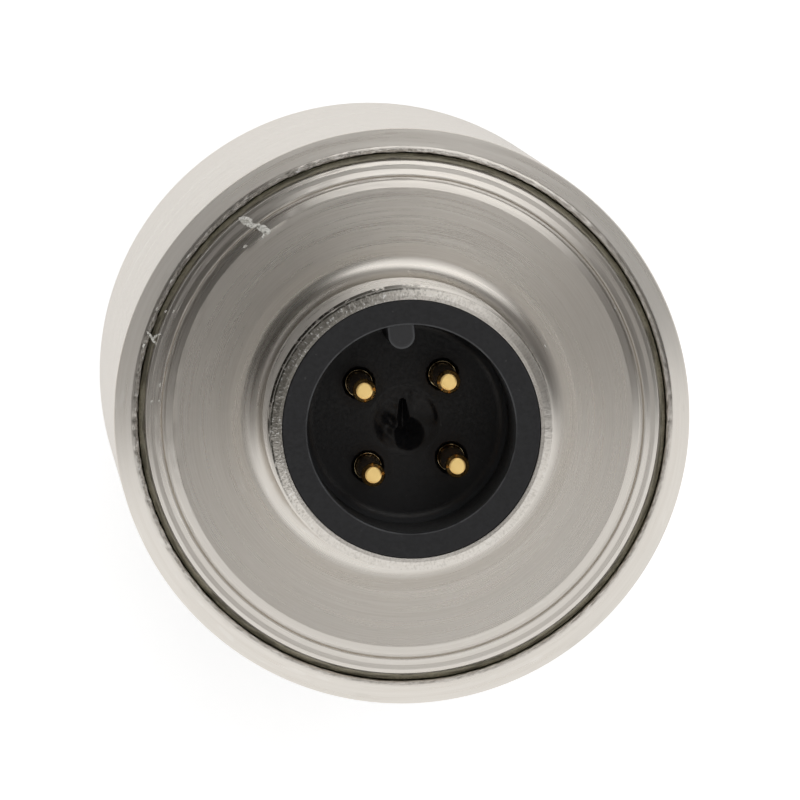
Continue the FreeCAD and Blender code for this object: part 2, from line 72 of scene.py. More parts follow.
def roundedPath(corners, step=2.5, closed=True, guard=0.02):
    # A corner is (radius, height, rounding, step of the run after it). Each rounding is an arc tangent to
    # its two runs. A run is cut into equal pieces no longer than its step, with a short piece at each end
    # that keeps the shading of the arc off the run.
    table = np.array([(*corner, *(0.0, step)[len(corner) - 2:]) for corner in corners], float)
    point, rounding, pieceStep, count = table[:, :2], table[:, 2], table[:, 3], len(table)
    starts, ends, path = point.copy(), point.copy(), []
    for i in range(count) if closed else range(1, count - 1):
        back, ahead = point[i - 1] - point[i], point[(i + 1) % count] - point[i]
        back, ahead = back / np.linalg.norm(back), ahead / np.linalg.norm(ahead)
        half = math.acos(max(-1.0, min(1.0, float(back @ ahead)))) / 2
        starts[i] += back * (rounding[i] / math.tan(half))
        ends[i] += ahead * (rounding[i] / math.tan(half))
    for i in range(count):
        arc = point[i][None]
        if rounding[i]:
            bisector = (starts[i] + ends[i]) / 2 - point[i]
            bisector = bisector / np.linalg.norm(bisector)
            centre = point[i] + bisector * math.hypot(rounding[i], np.linalg.norm(starts[i] - point[i]))
            a, b = starts[i] - centre, ends[i] - centre
            angle = math.acos(max(-1.0, min(1.0, float(a @ b) / rounding[i] ** 2)))
            widest = math.radians(16 if rounding[i] > 0.1 else 30)
            t = np.linspace(0, 1, max(2, math.ceil(angle / widest)) + 1)[:, None]
            arc = centre + (np.sin((1 - t) * angle) * a + np.sin(t * angle) * b) / math.sin(angle)
        path.append(arc)
        if closed or i < count - 1:
            run = starts[(i + 1) % count] - ends[i]
            length = np.linalg.norm(run)
            t = np.linspace(0, 1, max(1, math.ceil(length / pieceStep[i])) + 1)
            if length > 3 * guard:
                t = np.unique(np.concatenate([t, [guard / length, 1 - guard / length]]))
            path.append(ends[i] + t[1:-1, None] * run)
    return np.concatenate(path)


def groove(wall, floor, low, high, mouth=0.05, bottom=0.08, after=2.5):
    # The four corners of a square groove in a wall, from its lower edge to its upper one
    return [(wall, low, mouth), (floor, low, bottom), (floor, high, bottom), (wall, high, mouth, after)]


def spun(path, columns):
    # x = r cos a, y = r sin a, z = h: (r, h) runs along the path and a goes once round in equal steps
    angle = np.arange(columns) * fullTurn / columns
    radius, height = path[:, 0][:, None], path[:, 1][:, None]
    grid = np.empty((len(path), columns, 3))
    grid[..., 0] = radius * np.cos(angle)
    grid[..., 1] = radius * np.sin(angle)
    grid[..., 2] = height
    return grid


def turnedTo(grid, radius):
    # Gives every point of a grid its new radius about the axis and keeps its angle and height
    was = np.maximum(np.hypot(grid[..., 0], grid[..., 1]), 1e-9)
    grid[..., 0] *= radius / was
    grid[..., 1] *= radius / was


def turned(path, columns):
    # A spun grid, with the radius, angle and height of each of its points
    grid = spun(path, columns)
    return grid, np.hypot(grid[..., 0], grid[..., 1]), np.arctan2(grid[..., 1], grid[..., 0]), grid[..., 2]


def smoothStep(value, low, high):
    t = np.clip((value - low) / (high - low), 0, 1)
    return t * t * (3 - 2 * t)


def capped(grid, first, last):
    # The grid with one point before its first row and one after its last, each repeated round the row
    ends = [np.tile(np.array(point, float), (1, grid.shape[1], 1)) for point in (first, last)]
    return np.concatenate([ends[0], grid, ends[1]])


def threadRidge(crest, root, pitch, low, high, start=0.0, perTurn=84):
    # A trapezoid carried along a right-handed helix: x = r cos a, y = r sin a, z = h + pitch times turns.
    # Its flanks lean 30 degrees, its foot is sunk in the core, and at both ends the whole of it sinks in.
    foot, half = root - 0.05, pitch * 0.06
    flank = (crest - foot) * math.tan(math.radians(30))
    profile = roundedPath([(foot, -half - flank), (crest, -half, 0.012), (crest, half, 0.012),
                           (foot, half + flank)], step=0.25, guard=0.012)[::-1]
    turns = (high - low) / pitch
    t = np.linspace(0, 1, int(turns * perTurn))[:, None]
    sunk = (crest - foot) * (1 - smoothStep(t, 0, 0.3 / turns) * (1 - smoothStep(t, 1 - 0.3 / turns, 1)))
    angle, radius = start + t * turns * fullTurn, profile[:, 0] - sunk
    height = profile[:, 1] + low + t * turns * pitch
    grid = np.stack([radius * np.cos(angle), radius * np.sin(angle), height], 2)
    points, faces, faceUvs = meshShell(capped(grid, grid[0].mean(0), grid[-1].mean(0)), poles=(True, True))
    return points, faces, [uv[..., ::-1] for uv in faceUvs]   # u runs across the ridge, as on a turned piece


def threadCut(angle, height, pitch, depth, crest=0.16, root=0.2):
    # Depth below the crest of a right-handed thread: a flat crest, two straight flanks and a flat root in
    # each pitch, climbing one pitch a turn
    phase = height / pitch - angle / fullTurn
    share = np.abs(2 * (phase - np.floor(phase)) - 1)
    return depth * smoothStep(share, crest, 1 - root) * 0.35 + depth * 0.65 * np.clip(
        (share - crest) / (1 - root - crest), 0, 1)


def waviness(angle, seed, low, high, count):
    # Sum of sine waves that fit a whole number of times round the axis, with random phases
    picker = np.random.default_rng(seed)
    waves = picker.integers(low, high, count)
    phases = picker.uniform(0, fullTurn, count)
    total = np.sin(angle[..., None] * waves + phases).sum(-1)
    return total / math.sqrt(count / 2)


def grit(shape, seed, spread=1):
    # A random number at each point of a grid, each averaged with its neighbours along and round, then
    # scaled back to a spread of one
    value = np.random.default_rng(seed).normal(0, 1, shape)
    for _ in range(spread):
        value = value + 0.5 * (np.roll(value, 1, 1) + np.roll(value, -1, 1))
    value = value + 0.4 * (np.roll(value, 1, 0) + np.roll(value, -1, 0))
    return value / value.std()


def meshShell(grid, closedAlong=False, poles=(False, False)):
    # Corners of the faces between neighbouring points of the grid, their UVs, with u along the path and v
    # round the axis, and the points. A pole row is one point.
    rows, columns = grid.shape[:2]
    index = np.arange(rows * columns).reshape(rows, columns)
    if poles[0]:
        index[0] = index[0, 0]
    if poles[1]:
        index[-1] = index[-1, 0]
    middle = grid.mean(1)
    along = np.concatenate([grid[:, 0], grid[:1, 0]])
    travel = np.concatenate([[0], np.cumsum(np.linalg.norm(np.diff(along, axis=0), axis=1))])
    travel = travel / max(np.linalg.norm(np.ptp(middle, axis=0)), 1.0)
    bands = rows if closedAlong else rows - 1
    i, j = np.meshgrid(np.arange(bands), np.arange(columns), indexing="ij")
    i, j = i.ravel(), j.ravel()
    nextI, nextJ = (i + 1) % rows, (j + 1) % columns
    corners = np.stack([index[i, j], index[i, nextJ], index[nextI, nextJ], index[nextI, j]], 1)
    u = np.stack([travel[i], travel[i], travel[i + 1], travel[i + 1]], 1)
    v = np.stack([j, j + 1, j + 1, j], 1) / columns
    uv = np.stack([u, v], 2)
    faces, faceUvs = [], []
    whole = np.ones(len(i), bool)
    if poles[0]:
        first = i == 0
        whole &= ~first
        faces.append(corners[first][:, [0, 2, 3]])
        faceUvs.append(uv[first][:, [0, 2, 3]])
    if poles[1]:
        last = i == bands - 1
        whole &= ~last
        faces.append(corners[last][:, [0, 1, 2]])
        faceUvs.append(uv[last][:, [0, 1, 2]])
    faces.append(corners[whole])
    faceUvs.append(uv[whole])
    return grid.reshape(-1, 3), faces, faceUvs


def shown(name, data):
    made = bpy.data.objects.new(name, data)
    bpy.context.scene.collection.objects.link(made)
    return made


def makePiece(name, shells, material, slotName, *replaced):
    # Joins the shells into one mesh, drops unused points, and hangs the piece on the body
    points, cornerLists, sizes, uvs = [], [], [], []
    offset = 0
    for shellPoints, faces, faceUvs in shells:
        for face, faceUv in zip(faces, faceUvs):
            cornerLists.append(face.ravel() + offset)
            sizes.append(np.full(len(face), face.shape[1]))
            uvs.append(faceUv.reshape(-1, 2))
        points.append(shellPoints)
        offset += len(shellPoints)
    corner, total, uv = np.concatenate(cornerLists), np.concatenate(sizes), np.concatenate(uvs)
    used, corner = np.unique(corner, return_inverse=True)
    place = np.concatenate(points)[used] / perMetre
    mesh = bpy.data.meshes.new(name)
    mesh.vertices.add(len(place))
    mesh.vertices.foreach_set("co", place.ravel())
    mesh.loops.add(len(corner))
    mesh.loops.foreach_set("vertex_index", corner.astype(np.int32).ravel())
    mesh.polygons.add(len(total))
    mesh.polygons.foreach_set("loop_start", (np.cumsum(total) - total).astype(np.int32))
    mesh.polygons.foreach_set("loop_total", total.astype(np.int32))
    mesh.polygons.foreach_set("use_smooth", np.ones(len(total), bool))
    layer = mesh.uv_layers.new(name="turning")
    layer.data.foreach_set("uv", uv.astype(np.float32).ravel())
    mesh.update(calc_edges=True)
    mesh.validate()
    piece = shown(name, mesh)
    mesh.materials.append(material)
    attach(piece, "root")
    if replaced:
        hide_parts(*replaced)


# Material helpers: a socket stands for the value it gives, and the next node goes into the same tree

def newTree(name):
    material = bpy.data.materials.new(name)
    material.use_nodes = True
    return material, material.node_tree, material.node_tree.nodes["Principled BSDF"]


def fill(sockets, values):
    # Links each socket given to its input, and writes each plain value there
    for key, value in values.items():
        if isinstance(value, bpy.types.NodeSocket):
            value.id_data.links.new(value, sockets[key])
        else:
            sockets[key].default_value = value


def put(tree, kind, settings=None, inputs=None):
    made = tree.nodes.new("ShaderNode" + kind)
    for key, value in (settings or {}).items():
        setattr(made, key, value)
    fill(made.inputs, inputs or {})
    return made


def calc(operation, first, *others):
    return put(first.id_data, "Math", {"operation": operation}, dict(enumerate([first, *others]))).outputs[0]


def times(product, *others):
    for other in others:
        product = calc("MULTIPLY", product, other)
    return product


def mapped(value, low, high, toLow=0.0, toHigh=1.0):
    # Goes smoothly from toLow to toHigh while the value goes from low to high
    return put(value.id_data, "MapRange", {"interpolation_type": "SMOOTHSTEP"},
               {0: value, 1: low, 2: high, 3: toLow, 4: toHigh}).outputs[0]


def between(value, start, full, fade, gone):
    # 0 to 1 mask that rises from start to full and falls again from fade to gone
    return times(mapped(value, start, full), mapped(value, fade, gone, 1.0, 0.0))


def mixed(share, a, b):
    a, b = [tone if isinstance(tone, bpy.types.NodeSocket) else (*tone, 1.0) for tone in (a, b)]
    return put(share.id_data, "Mix", {"data_type": "RGBA"}, {0: share, 6: a, 7: b}).outputs[2]


def noise(vector, scale, detail=2.0, rough=0.5):
    return put(vector.id_data, "TexNoise", None,
               {"Vector": vector, "Scale": scale, "Detail": detail, "Roughness": rough}).outputs["Fac"]


def stretched(place, scale, turn=0.0):
    return put(place.id_data, "Mapping", None,
               {"Vector": place, "Rotation": (0, 0, math.radians(turn)), "Scale": scale}).outputs[0]


def bumped(height, strength, depth):
    # A normal for relief of a depth in millimetres
    return put(height.id_data, "Bump", None,
               {"Strength": strength, "Distance": depth / perMetre, "Height": height}).outputs[0]


def millimetres(tree):
    # Object coordinates in millimetres, and the radius, height and direction round the axis
    place = put(tree, "TexCoord").outputs["Object"]
    place = put(tree, "VectorMath", {"operation": "SCALE"}, {0: place, "Scale": perMetre}).outputs[0]
    x, y, z = put(tree, "SeparateXYZ", None, {0: place}).outputs
    radius = calc("MAXIMUM", calc("SQRT", calc("ADD", times(x, x), times(y, y))), 0.001)
    return place, radius, z, calc("DIVIDE", x, radius), calc("DIVIDE", y, radius)


# Finishes

steelLook = {
    "light": (0.760, 0.722, 0.668),       # clean turned stainless
    "dark": (0.685, 0.643, 0.586),        # the same in the deeper turning marks
    "haze": (0.70, 0.67, 0.62),
    "scratch": (0.86, 0.84, 0.80),
    "darkScratch": (0.46, 0.43, 0.38),
    "speck": (0.85, 0.83, 0.79),
    "dirt": (0.520, 0.485, 0.375),        # painted shade with dirt in the gap round the cap, on the ledge and in the slit
    # darker painted shade with dirt, deeper in the slit
    "deepDirt": (0.360, 0.335, 0.235),
    "crumbs": (0.10, 0.09, 0.06),
    "seam": (0.050, 0.047, 0.038),        # painted shadow: the broken dark line under the boss's rim
    "knocked": (0.200, 0.188, 0.162),     # torn metal on the side that took the blow
    "chip": (0.90, 0.89, 0.87),           # bright points in it
    "knockedSide": 140.0,                 # where that side is, degrees
    "roughness": (0.24, 0.36),
    "anisotropy": 0.75,
    "edgeTint": (0.75, 0.74, 0.73, 1.0),  # how much a glancing mirror image keeps
    "marksPerMm": 16.0,
    "speckPerMm": 7.0,
    "gritPerMm": 11.0,
    "bump": 0.0016,                       # height of the turning marks, mm
    "gritBump": 0.060,                    # height of the torn places, mm
}


def turnedSteel(name, gapShadeAndDirtBand=None, gritBand=None, seam=None):
    # Turned stainless steel with marks that run round the axis, fine scratches and specks, painted shade
    # with grime in a band between two radii under a height, a torn gritty look in a band between two radii
    # above a height, and a broken line of painted shadow between two radii and two heights on the knocked
    # side
    look = SimpleNamespace(**steelLook)
    material, tree, shader = newTree(name)
    place, radius, z, cosine, sine = millimetres(tree)
    lane = calc("MULTIPLY_ADD", z, 0.7, radius)   # one number across the marks on a face and on a wall

    def marks(perTurn, perMm, detail, rough):
        # Noise drawn out along the marks
        point = put(tree, "CombineXYZ", None,
                    {0: times(cosine, perTurn), 1: times(sine, perTurn), 2: times(lane, perMm)})
        return noise(point.outputs[0], 1.0, detail, rough)

    def knockedSide(low, high):
        # 0 to 1 mask that is full where the direction round the axis is near the knocked side
        turn = math.radians(look.knockedSide)
        return mapped(calc("ADD", times(cosine, math.cos(turn)), times(sine, math.sin(turn))), low, high)

    fine = marks(1.4, look.marksPerMm, 3.0, 0.65)
    broad = marks(0.9, 2.2, 2.0, 0.5)
    arcs = marks(9.0, 11.0, 1.0, 0.5)             # short scratches, where it is highest and lowest
    cloud = noise(place, 0.55, 3.0, 0.6)
    speck = noise(place, look.speckPerMm, 2.0, 0.6)
    tone = mixed(mapped(fine, 0.3, 0.7), look.dark, look.light)
    tone = mixed(mapped(cloud, 0.35, 0.75, 0.0, 0.35), tone, look.haze)
    tone = mixed(mapped(arcs, 0.66, 0.74, 0.0, 0.22), tone, look.scratch)
    tone = mixed(mapped(arcs, 0.34, 0.26, 0.0, 0.12), tone, look.darkScratch)
    tone = mixed(mapped(speck, 0.70, 0.78, 0.0, 0.5), tone, look.speck)
    rough = mapped(calc("ADD", times(fine, 0.6), times(broad, 0.4)), 0.3, 0.7, *look.roughness)
    height = times(calc("MULTIPLY_ADD", broad, 0.6, fine), look.bump)
    if gritBand:
        inner, outer, bottom, darkening = gritBand
        band = times(between(radius, inner - 0.03, inner + 0.02, outer, outer + 0.05),
                     mapped(z, bottom - 0.05, bottom + 0.02))
        worn = times(band, calc("MULTIPLY_ADD", knockedSide(0.0, 0.95), 0.68, 0.32))
        grain = marks(60.0, look.gritPerMm, 3.0, 0.6)
        height = calc("MULTIPLY_ADD", times(grain, worn), look.gritBump, height)
        rough = calc("MULTIPLY_ADD", worn, 0.12, rough)
        tone = mixed(times(band, knockedSide(0.45, 0.95), darkening), tone, look.knocked)
        tone = mixed(times(mapped(grain, 0.50, 0.38, 0.0, 0.60), worn), tone, look.knocked)
        tone = mixed(times(mapped(grain, 0.57, 0.68, 0.0, 0.85), worn), tone, look.chip)
    if seam:
        # painted shadow on the step under the boss's rim, broken into dashes and only on the knocked side
        inner, outer, bottom, top = seam
        band = times(between(radius, inner - 0.02, inner, outer - 0.01, outer),
                     between(z, bottom - 0.2, bottom, top, top + 0.05))
        breaks = mapped(marks(16.0, 8.0, 3.0, 0.7), 0.36, 0.50, 0.0, 0.92)
        tone = mixed(times(band, knockedSide(0.30, 0.75), breaks), tone, look.seam)
    if gapShadeAndDirtBand:
        # painted shade with dirt in the gap between the parts: fades upwards and is darkest towards the
        # slit, with dark crumbs
        inner, outer, top = gapShadeAndDirtBand
        grime = times(between(radius, inner - 0.06, inner, outer, outer + 0.04),
                      mapped(calc("MULTIPLY_ADD", speck, 0.2, z), top - 0.15, top + 0.15, 1.0, 0.0))
        across = calc("MULTIPLY_ADD", calc("SUBTRACT", speck, 0.5), 0.8, radius)
        dirt = mixed(mapped(across, inner + 0.10, outer - 0.12), look.dirt, look.deepDirt)
        dirt = mixed(mapped(arcs, 0.52, 0.36, 0.0, 0.7), dirt, look.crumbs)
        tone = mixed(times(grime, 0.92), tone, dirt)
        rough = calc("MAXIMUM", rough, times(grime, 0.60))
    tangent = put(tree, "Tangent", {"direction_type": "UV_MAP", "uv_map": "turning"}).outputs[0]
    fill(shader.inputs, {"Base Color": tone, "Roughness": rough, "Metallic": 1.0,
                         "Anisotropic": look.anisotropy, "Tangent": tangent,
                         "Specular Tint": look.edgeTint, "Normal": bumped(height, 0.6, 1.0)})
    return material


def mouldedPlastic(name, light, dark, roughness, grainPerMm, more):
    # Moulded plastic, rubber, ceramic, film or plain metal: a fine grain, a soft cloudiness and small specks
    material, tree, shader = newTree(name)
    place = millimetres(tree)[0]
    grain = noise(place, grainPerMm, 3.0, 0.6)
    cloud = noise(place, 0.4, 2.0, 0.5)
    speck = noise(place, grainPerMm * 0.8, 1.0, 0.5)
    tone = mixed(mapped(grain, 0.3, 0.7), dark, light)
    tone = mixed(mapped(cloud, 0.4, 0.7, 0.0, 0.25), tone, light)
    tone = mixed(mapped(speck, 0.72, 0.80, 0.0, 0.6), tone, more.get("speck", light))
    relief = calc("MULTIPLY_ADD", cloud, 0.5, grain)
    fill(shader.inputs, {"Base Color": tone, "Roughness": mapped(grain, 0.3, 0.7, *roughness),
                         "Metallic": more.get("metallic", 0.0),
                         "Normal": bumped(relief, 0.5, more.get("bump", 0.004))})
    return material


goldLook = {
    "tip": (0.94, 0.67, 0.26),
    "shank": (0.95, 0.66, 0.26),
    "worn": (0.62, 0.30, 0.07),
    # painted highlight: paler gold on the bead at the floor
    "ring": (0.95, 0.80, 0.50),
    "grime": (0.10, 0.065, 0.03),       # painted shade with grime in the hole round the foot
    "tipRoughness": (0.34, 0.50),
    "tipMetal": 0.55,                   # the saw-cut tip scatters part of the light
    "tipDrop": (0.78, 0.71),            # where the tip's look begins and is full, below the rim, mm
    "shankRoughness": (0.14, 0.26),
}


def goldPlate(name):
    # Gold flash over nickel: pale and satin on the cut tip, deeper and redder down the shank
    look = SimpleNamespace(**goldLook)
    material, tree, shader = newTree(name)
    place, _, z = millimetres(tree)[:3]
    mottle = noise(place, 4.0, 3.0, 0.55)
    drawn = noise(stretched(place, (9.0, 9.0, 0.7)), 1.0, 2.0, 0.6)
    onTip = mapped(z, *[rimTop - drop for drop in look.tipDrop])

    def byPart(onShank, atTip):
        return put(tree, "Mix", {"data_type": "FLOAT"}, {0: onTip, 2: onShank, 3: atTip}).outputs[0]

    tone = mixed(mapped(mottle, 0.3, 0.7), look.shank, look.worn)
    tone = mixed(mapped(drawn, 0.4, 0.7, 0.0, 0.4), tone, look.worn)
    tone = mixed(onTip, tone, look.tip)
    tone = mixed(mapped(mottle, 0.45, 0.75, 0.0, 0.25), tone, look.shank)
    # painted highlight on the bead at the floor, broken by painted shade with grime; below it painted shade
    # with grime down the hole
    ring = between(z, insertFloor - 0.04, insertFloor - 0.03, insertFloor - 0.01, insertFloor + 0.01)
    tone = mixed(ring, tone, mixed(mapped(mottle, 0.40, 0.62), look.grime, look.ring))
    tone = mixed(mapped(z, insertFloor - 0.04, insertFloor - 0.03, 1.0, 0.0), tone, look.grime)
    rough = byPart(mapped(drawn, 0.3, 0.75, *look.shankRoughness),
                   mapped(mottle, 0.3, 0.75, *look.tipRoughness))
    fill(shader.inputs, {"Base Color": tone, "Roughness": rough, "Metallic": byPart(1.0, look.tipMetal),
                         "Normal": bumped(mottle, 0.3, 0.004)})
    return material


boardLook = {
    "mask": (0.012, 0.105, 0.048),
    "maskLight": (0.030, 0.190, 0.085),
    "weavePerMm": 3.2,
    "copper": (0.45, 0.30, 0.10),
}


def boardLaminate(name):
    # Glass-cloth laminate: the weave shows faintly under a green mask
    look = SimpleNamespace(**boardLook)
    material, tree, shader = newTree(name)
    place = millimetres(tree)[0]
    thread = {"Vector": place, "Scale": look.weavePerMm, "Distortion": 0.6, "Detail": 1.0}
    weave = [put(tree, "TexWave", {"bands_direction": axis}, thread).outputs["Fac"] for axis in "XYZ"]
    cloth = times(calc("MAXIMUM", weave[0], weave[1]), weave[2])
    pad = mapped(noise(place, 0.9, 1.0, 0.4), 0.66, 0.68)
    tone = mixed(pad, mixed(cloth, look.mask, look.maskLight), look.copper)
    fill(shader.inputs, {"Base Color": tone, "Roughness": mapped(cloth, 0.0, 1.0, 0.28, 0.42),
                         "Normal": bumped(cloth, 0.3, 0.01)})
    return material


plasticLooks = {
    # light, dark, roughness, grain per mm, and what else it has
    "seal_rubber": ((0.020, 0.020, 0.020), (0.010, 0.010, 0.011), (0.50, 0.68), 5.0, {"bump": 0.008}),
    "cell_ceramic": ((0.86, 0.85, 0.80), (0.76, 0.74, 0.69), (0.42, 0.60), 12.0, {"bump": 0.004}),
    "white_plastic": ((0.84, 0.84, 0.82), (0.74, 0.74, 0.71), (0.38, 0.52), 5.0, {}),
    "holder_plastic": ((0.050, 0.053, 0.058), (0.028, 0.030, 0.034), (0.40, 0.58), 4.0, {}),
    "spring_steel": ((0.62, 0.62, 0.62), (0.48, 0.48, 0.49), (0.22, 0.36), 9.0,
                     {"metallic": 1.0, "bump": 0.002}),
    "flex_film": ((0.62, 0.27, 0.055), (0.46, 0.17, 0.030), (0.20, 0.34), 2.5,
                  {"speck": (0.75, 0.44, 0.14), "bump": 0.003}),
    "tinned_pin": ((0.76, 0.75, 0.71), (0.60, 0.59, 0.55), (0.20, 0.38), 6.0,
                   {"metallic": 1.0, "bump": 0.004}),
    "capacitor_ceramic": ((0.52, 0.37, 0.22), (0.38, 0.25, 0.14), (0.36, 0.50), 8.0, {}),
    "package_plastic": ((0.026, 0.027, 0.030), (0.013, 0.014, 0.016), (0.48, 0.64), 14.0, {}),
}

finishes = {name: mouldedPlastic(name, *look) for name, look in plasticLooks.items()}
finishes["board_laminate"] = boardLaminate("board_laminate")
finishes["gold_plating"] = goldPlate("gold_plating")
finishes["turned_steel"] = finishes["spring_steel"]   # on the hidden rings
print("finishes made,", len(finishes))


# Cap: skirt, groove round the head, two beads, slightly crowned face, threaded boss and its rim

cap = {
    "columns": 300,
    "slideRadius": 11.22,
    "sealGrooveDepth": 0.75,
    "sealGrooveWidth": 1.5,
    "sealRise": 3.1,
    "boreRadius": 9.75,
    "ceilingDrop": 3.5,        # inner ceiling below the face
    "faceRise": 0.7,           # face above the sleeve's end
    # face profile from the rim of the head inwards: radius, fall below the face, rounding
    "steps": [(10.95, 0.62, 0.05), (10.89, 0.44, 0.03), (10.74, 0.370, 0.05), (10.54, 0.345, 0.07),
              (10.32, 0.265, 0.05), (10.26, 0.262, 0.02), (10.205, 0.315, 0.02), (10.13, 0.300, 0.02),
              (10.055, 0.240, 0.035), (9.76, 0.140, 0.12)],
    "crown": (7.4, 0.015),          # radius from which the face falls towards the beads, and its fall there
    "ledge": (11.19, 0.36, 0.30),   # outer radius, and depth below the sleeve's end outside and inside
    "slitDepth": 0.9,
    "bossRadius": 6.0,
    "bossRoot": 5.40,
    "bossFillet": 0.9,
    "rimRadius": 5.90,
    "rimLength": 1.1,
    "rimFlat": 5.57,           # outer radius of the flat top of the rim
    "rimSlope": 27.0,          # fall of the chamfer outside it, degrees
    "counterboreRadius": 5.41,
    "insertBoreRadius": 5.0,
    "pitch": 1.0,
    "threadFoot": 1.0,         # plain neck between the face and the thread
    "threadStart": 200.0,      # where the thread begins on the neck, degrees
    "bruised": 138.0,          # the side that has been knocked
}
capFace = sleeveTop + cap["faceRise"]
shoulder = carrierTop - 1.2


def connectorCap():
    c = SimpleNamespace(**cap)
    wall, ceiling = c.slideRadius, capFace - c.ceilingDrop
    seal, sealHalf = capLow + c.sealRise, c.sealGrooveWidth / 2
    ledgeRadius, ledgeOut, ledgeIn = c.ledge
    crownRadius, crownFall = c.crown
    rimFall = (c.rimRadius - c.rimFlat) * math.tan(math.radians(c.rimSlope))
    path = roundedPath([
        (c.boreRadius, capLow, 0.05),
        (wall - 0.2, capLow, 0.05),
        (wall, capLow + 0.2, 0.05),
        *groove(wall, wall - c.sealGrooveDepth, seal - sealHalf, seal + sealHalf),
        (wall, sleeveTop - c.slitDepth, 0.02),
        (ledgeRadius, sleeveTop - c.slitDepth, 0.02),
        (ledgeRadius, sleeveTop - ledgeOut, 0.02, 0.05),
        (c.steps[0][0] + 0.01, sleeveTop - ledgeIn, 0.03, 0.1),
        *[(radius, capFace - fall, rounding, 0.06) for radius, fall, rounding in c.steps[:-1]],
        (c.steps[-1][0], capFace - c.steps[-1][1], c.steps[-1][2], 0.25),
        (crownRadius, capFace - crownFall, 0.8, 0.3),
        (c.bossRadius, capFace, c.bossFillet),
        (c.bossRadius - 0.02, capFace + c.threadFoot - 0.1, 0.05, 0.2),
        (c.bossRoot, capFace + c.threadFoot + 0.25, 0.08),
        (c.bossRoot, rimTop - c.rimLength - 0.18, 0.08),
        (c.rimRadius, rimTop - c.rimLength, 0.06, 0.1),
        (c.rimRadius, rimTop - rimFall, 0.02, 0.08),
        (c.rimFlat, rimTop, 0.04, 0.03),
        (c.counterboreRadius, rimTop, 0.015),
        (c.counterboreRadius, shoulder, 0.03),
        (c.insertBoreRadius, shoulder, 0.05),
        (c.insertBoreRadius, ceiling, 0.10),
        (c.boreRadius, ceiling, 0.20, 0.8),
    ])
    grid, radius, angle, height = turned(path, c.columns)
    knocked = smoothStep(np.cos(angle - math.radians(c.bruised)), 0.0, 0.9)
    speckle = grit(radius.shape, 11, 2)
    # rim: nicked and gritty, most on the knocked side
    onRim = (radius > c.counterboreRadius + 0.005) & (radius < c.rimRadius + 0.02) & (height > rimTop - 0.35)
    dents = np.maximum(0, waviness(angle, 8, 30, 190, 16) - 0.7) + 0.3 * np.abs(speckle)
    grid[..., 2] -= np.where(onRim, (0.002 + 0.010 * knocked) * dents, 0)
    bitten = (0.004 + 0.022 * knocked) * dents
    turnedTo(grid, np.where(onRim & (radius > c.rimFlat), radius - bitten, radius))
    # beads: fine nicks on the side where the burrs lie
    onBeads = (radius > 9.7) & (radius < 11.0) & (height > sleeveTop - 0.05)
    grid[..., 2] -= np.where(onBeads, (0.0006 + 0.004 * knocked) * np.maximum(0, speckle - 0.3), 0)
    # painted shade with dirt in the gap and slit round the head
    steel = turnedSteel("cap_steel", gapShadeAndDirtBand=(c.steps[0][0] - 0.02, 11.30, sleeveTop - 0.12),
                        gritBand=(c.counterboreRadius - 0.02, c.rimRadius + 0.02, rimTop - 0.22, 0.80),
                        # painted shadow under the boss's rim
                        seam=(c.rimRadius - 0.07, c.bossRadius - 0.015, rimTop - 2.2, rimTop))
    ridge = threadRidge(c.bossRadius, c.bossRoot, c.pitch, capFace + c.threadFoot,
                        rimTop - c.rimLength - 0.22, math.radians(c.threadStart))
    makePiece("connectorCap", [meshShell(grid, closedAlong=True), ridge], steel,
              "turned_steel", "connector_cap")


connectorCap()
print("cap made")


# Sleeve: turned tube with a chamfered end whose inner lip carries a fine burr

sleeve = {
    "columns": 720,
    "boreRadius": 11.25,
    "waistRadius": 10.85,
    "lowerLedge": 33.8,
    "endChamfer": 0.80,
    "lipChamfer": 0.04,
    "jointChamfer": 0.15,
    "burr": 0.014,
}


def housingSleeve():
    s = SimpleNamespace(**sleeve)
    path = roundedPath([
        (s.boreRadius, sleeveLow, 0.03),
        (bodyRadius - s.jointChamfer, sleeveLow, 0.05),
        (bodyRadius, sleeveLow + s.jointChamfer, 0.05, 6.0),
        (bodyRadius, sleeveTop - s.endChamfer, 0.12, 0.2),
        (bodyRadius - s.endChamfer, sleeveTop, 0.25, 0.03),
        (s.boreRadius + s.lipChamfer, sleeveTop, 0.02, 0.04),
        (s.boreRadius, sleeveTop - s.lipChamfer, 0.04, 1.2),
        (s.boreRadius, capLow, 0.10),
        (s.waistRadius, capLow, 0.05, 4.0),
        (s.waistRadius, s.lowerLedge, 0.05),
        (s.boreRadius, s.lowerLedge, 0.10, 2.0),
    ], guard=0.03)
    grid, radius, angle, height = turned(path, s.columns)
    # burr: the lip between bore and chamfer is torn and gritty, roughest on one side
    lipOuter = bodyRadius - s.endChamfer
    onLip = smoothStep(height, sleeveTop - 0.20, sleeveTop - 0.04) * (radius < lipOuter - 0.02)
    side = 0.55 + 0.45 * smoothStep(np.cos(angle - math.radians(140)), -0.3, 0.8)
    broken = grit(radius.shape, 3) + 0.3 * waviness(angle, 4, 90, 340, 14)
    grid[..., 2] -= onLip * side * s.burr * np.maximum(0, broken + 0.8)
    turnedTo(grid, radius - onLip * side * s.burr * grit(radius.shape, 6)
             * (radius < s.boreRadius + s.lipChamfer + 0.05))
    # painted shade with dirt in the slit inside the lip
    steel = turnedSteel("sleeve_steel", gapShadeAndDirtBand=(11.0, 11.28, sleeveTop - 0.10),
                        gritBand=(s.boreRadius - 0.02, lipOuter - 0.05, sleeveTop - 0.15, 0.35))
    makePiece("housingSleeve", [meshShell(grid, closedAlong=True)], steel,
              "turned_steel", "housing_sleeve")


housingSleeve()
print("sleeve made")


# Process connection: stud with its thread, hexagon, flange and the register inside the sleeve

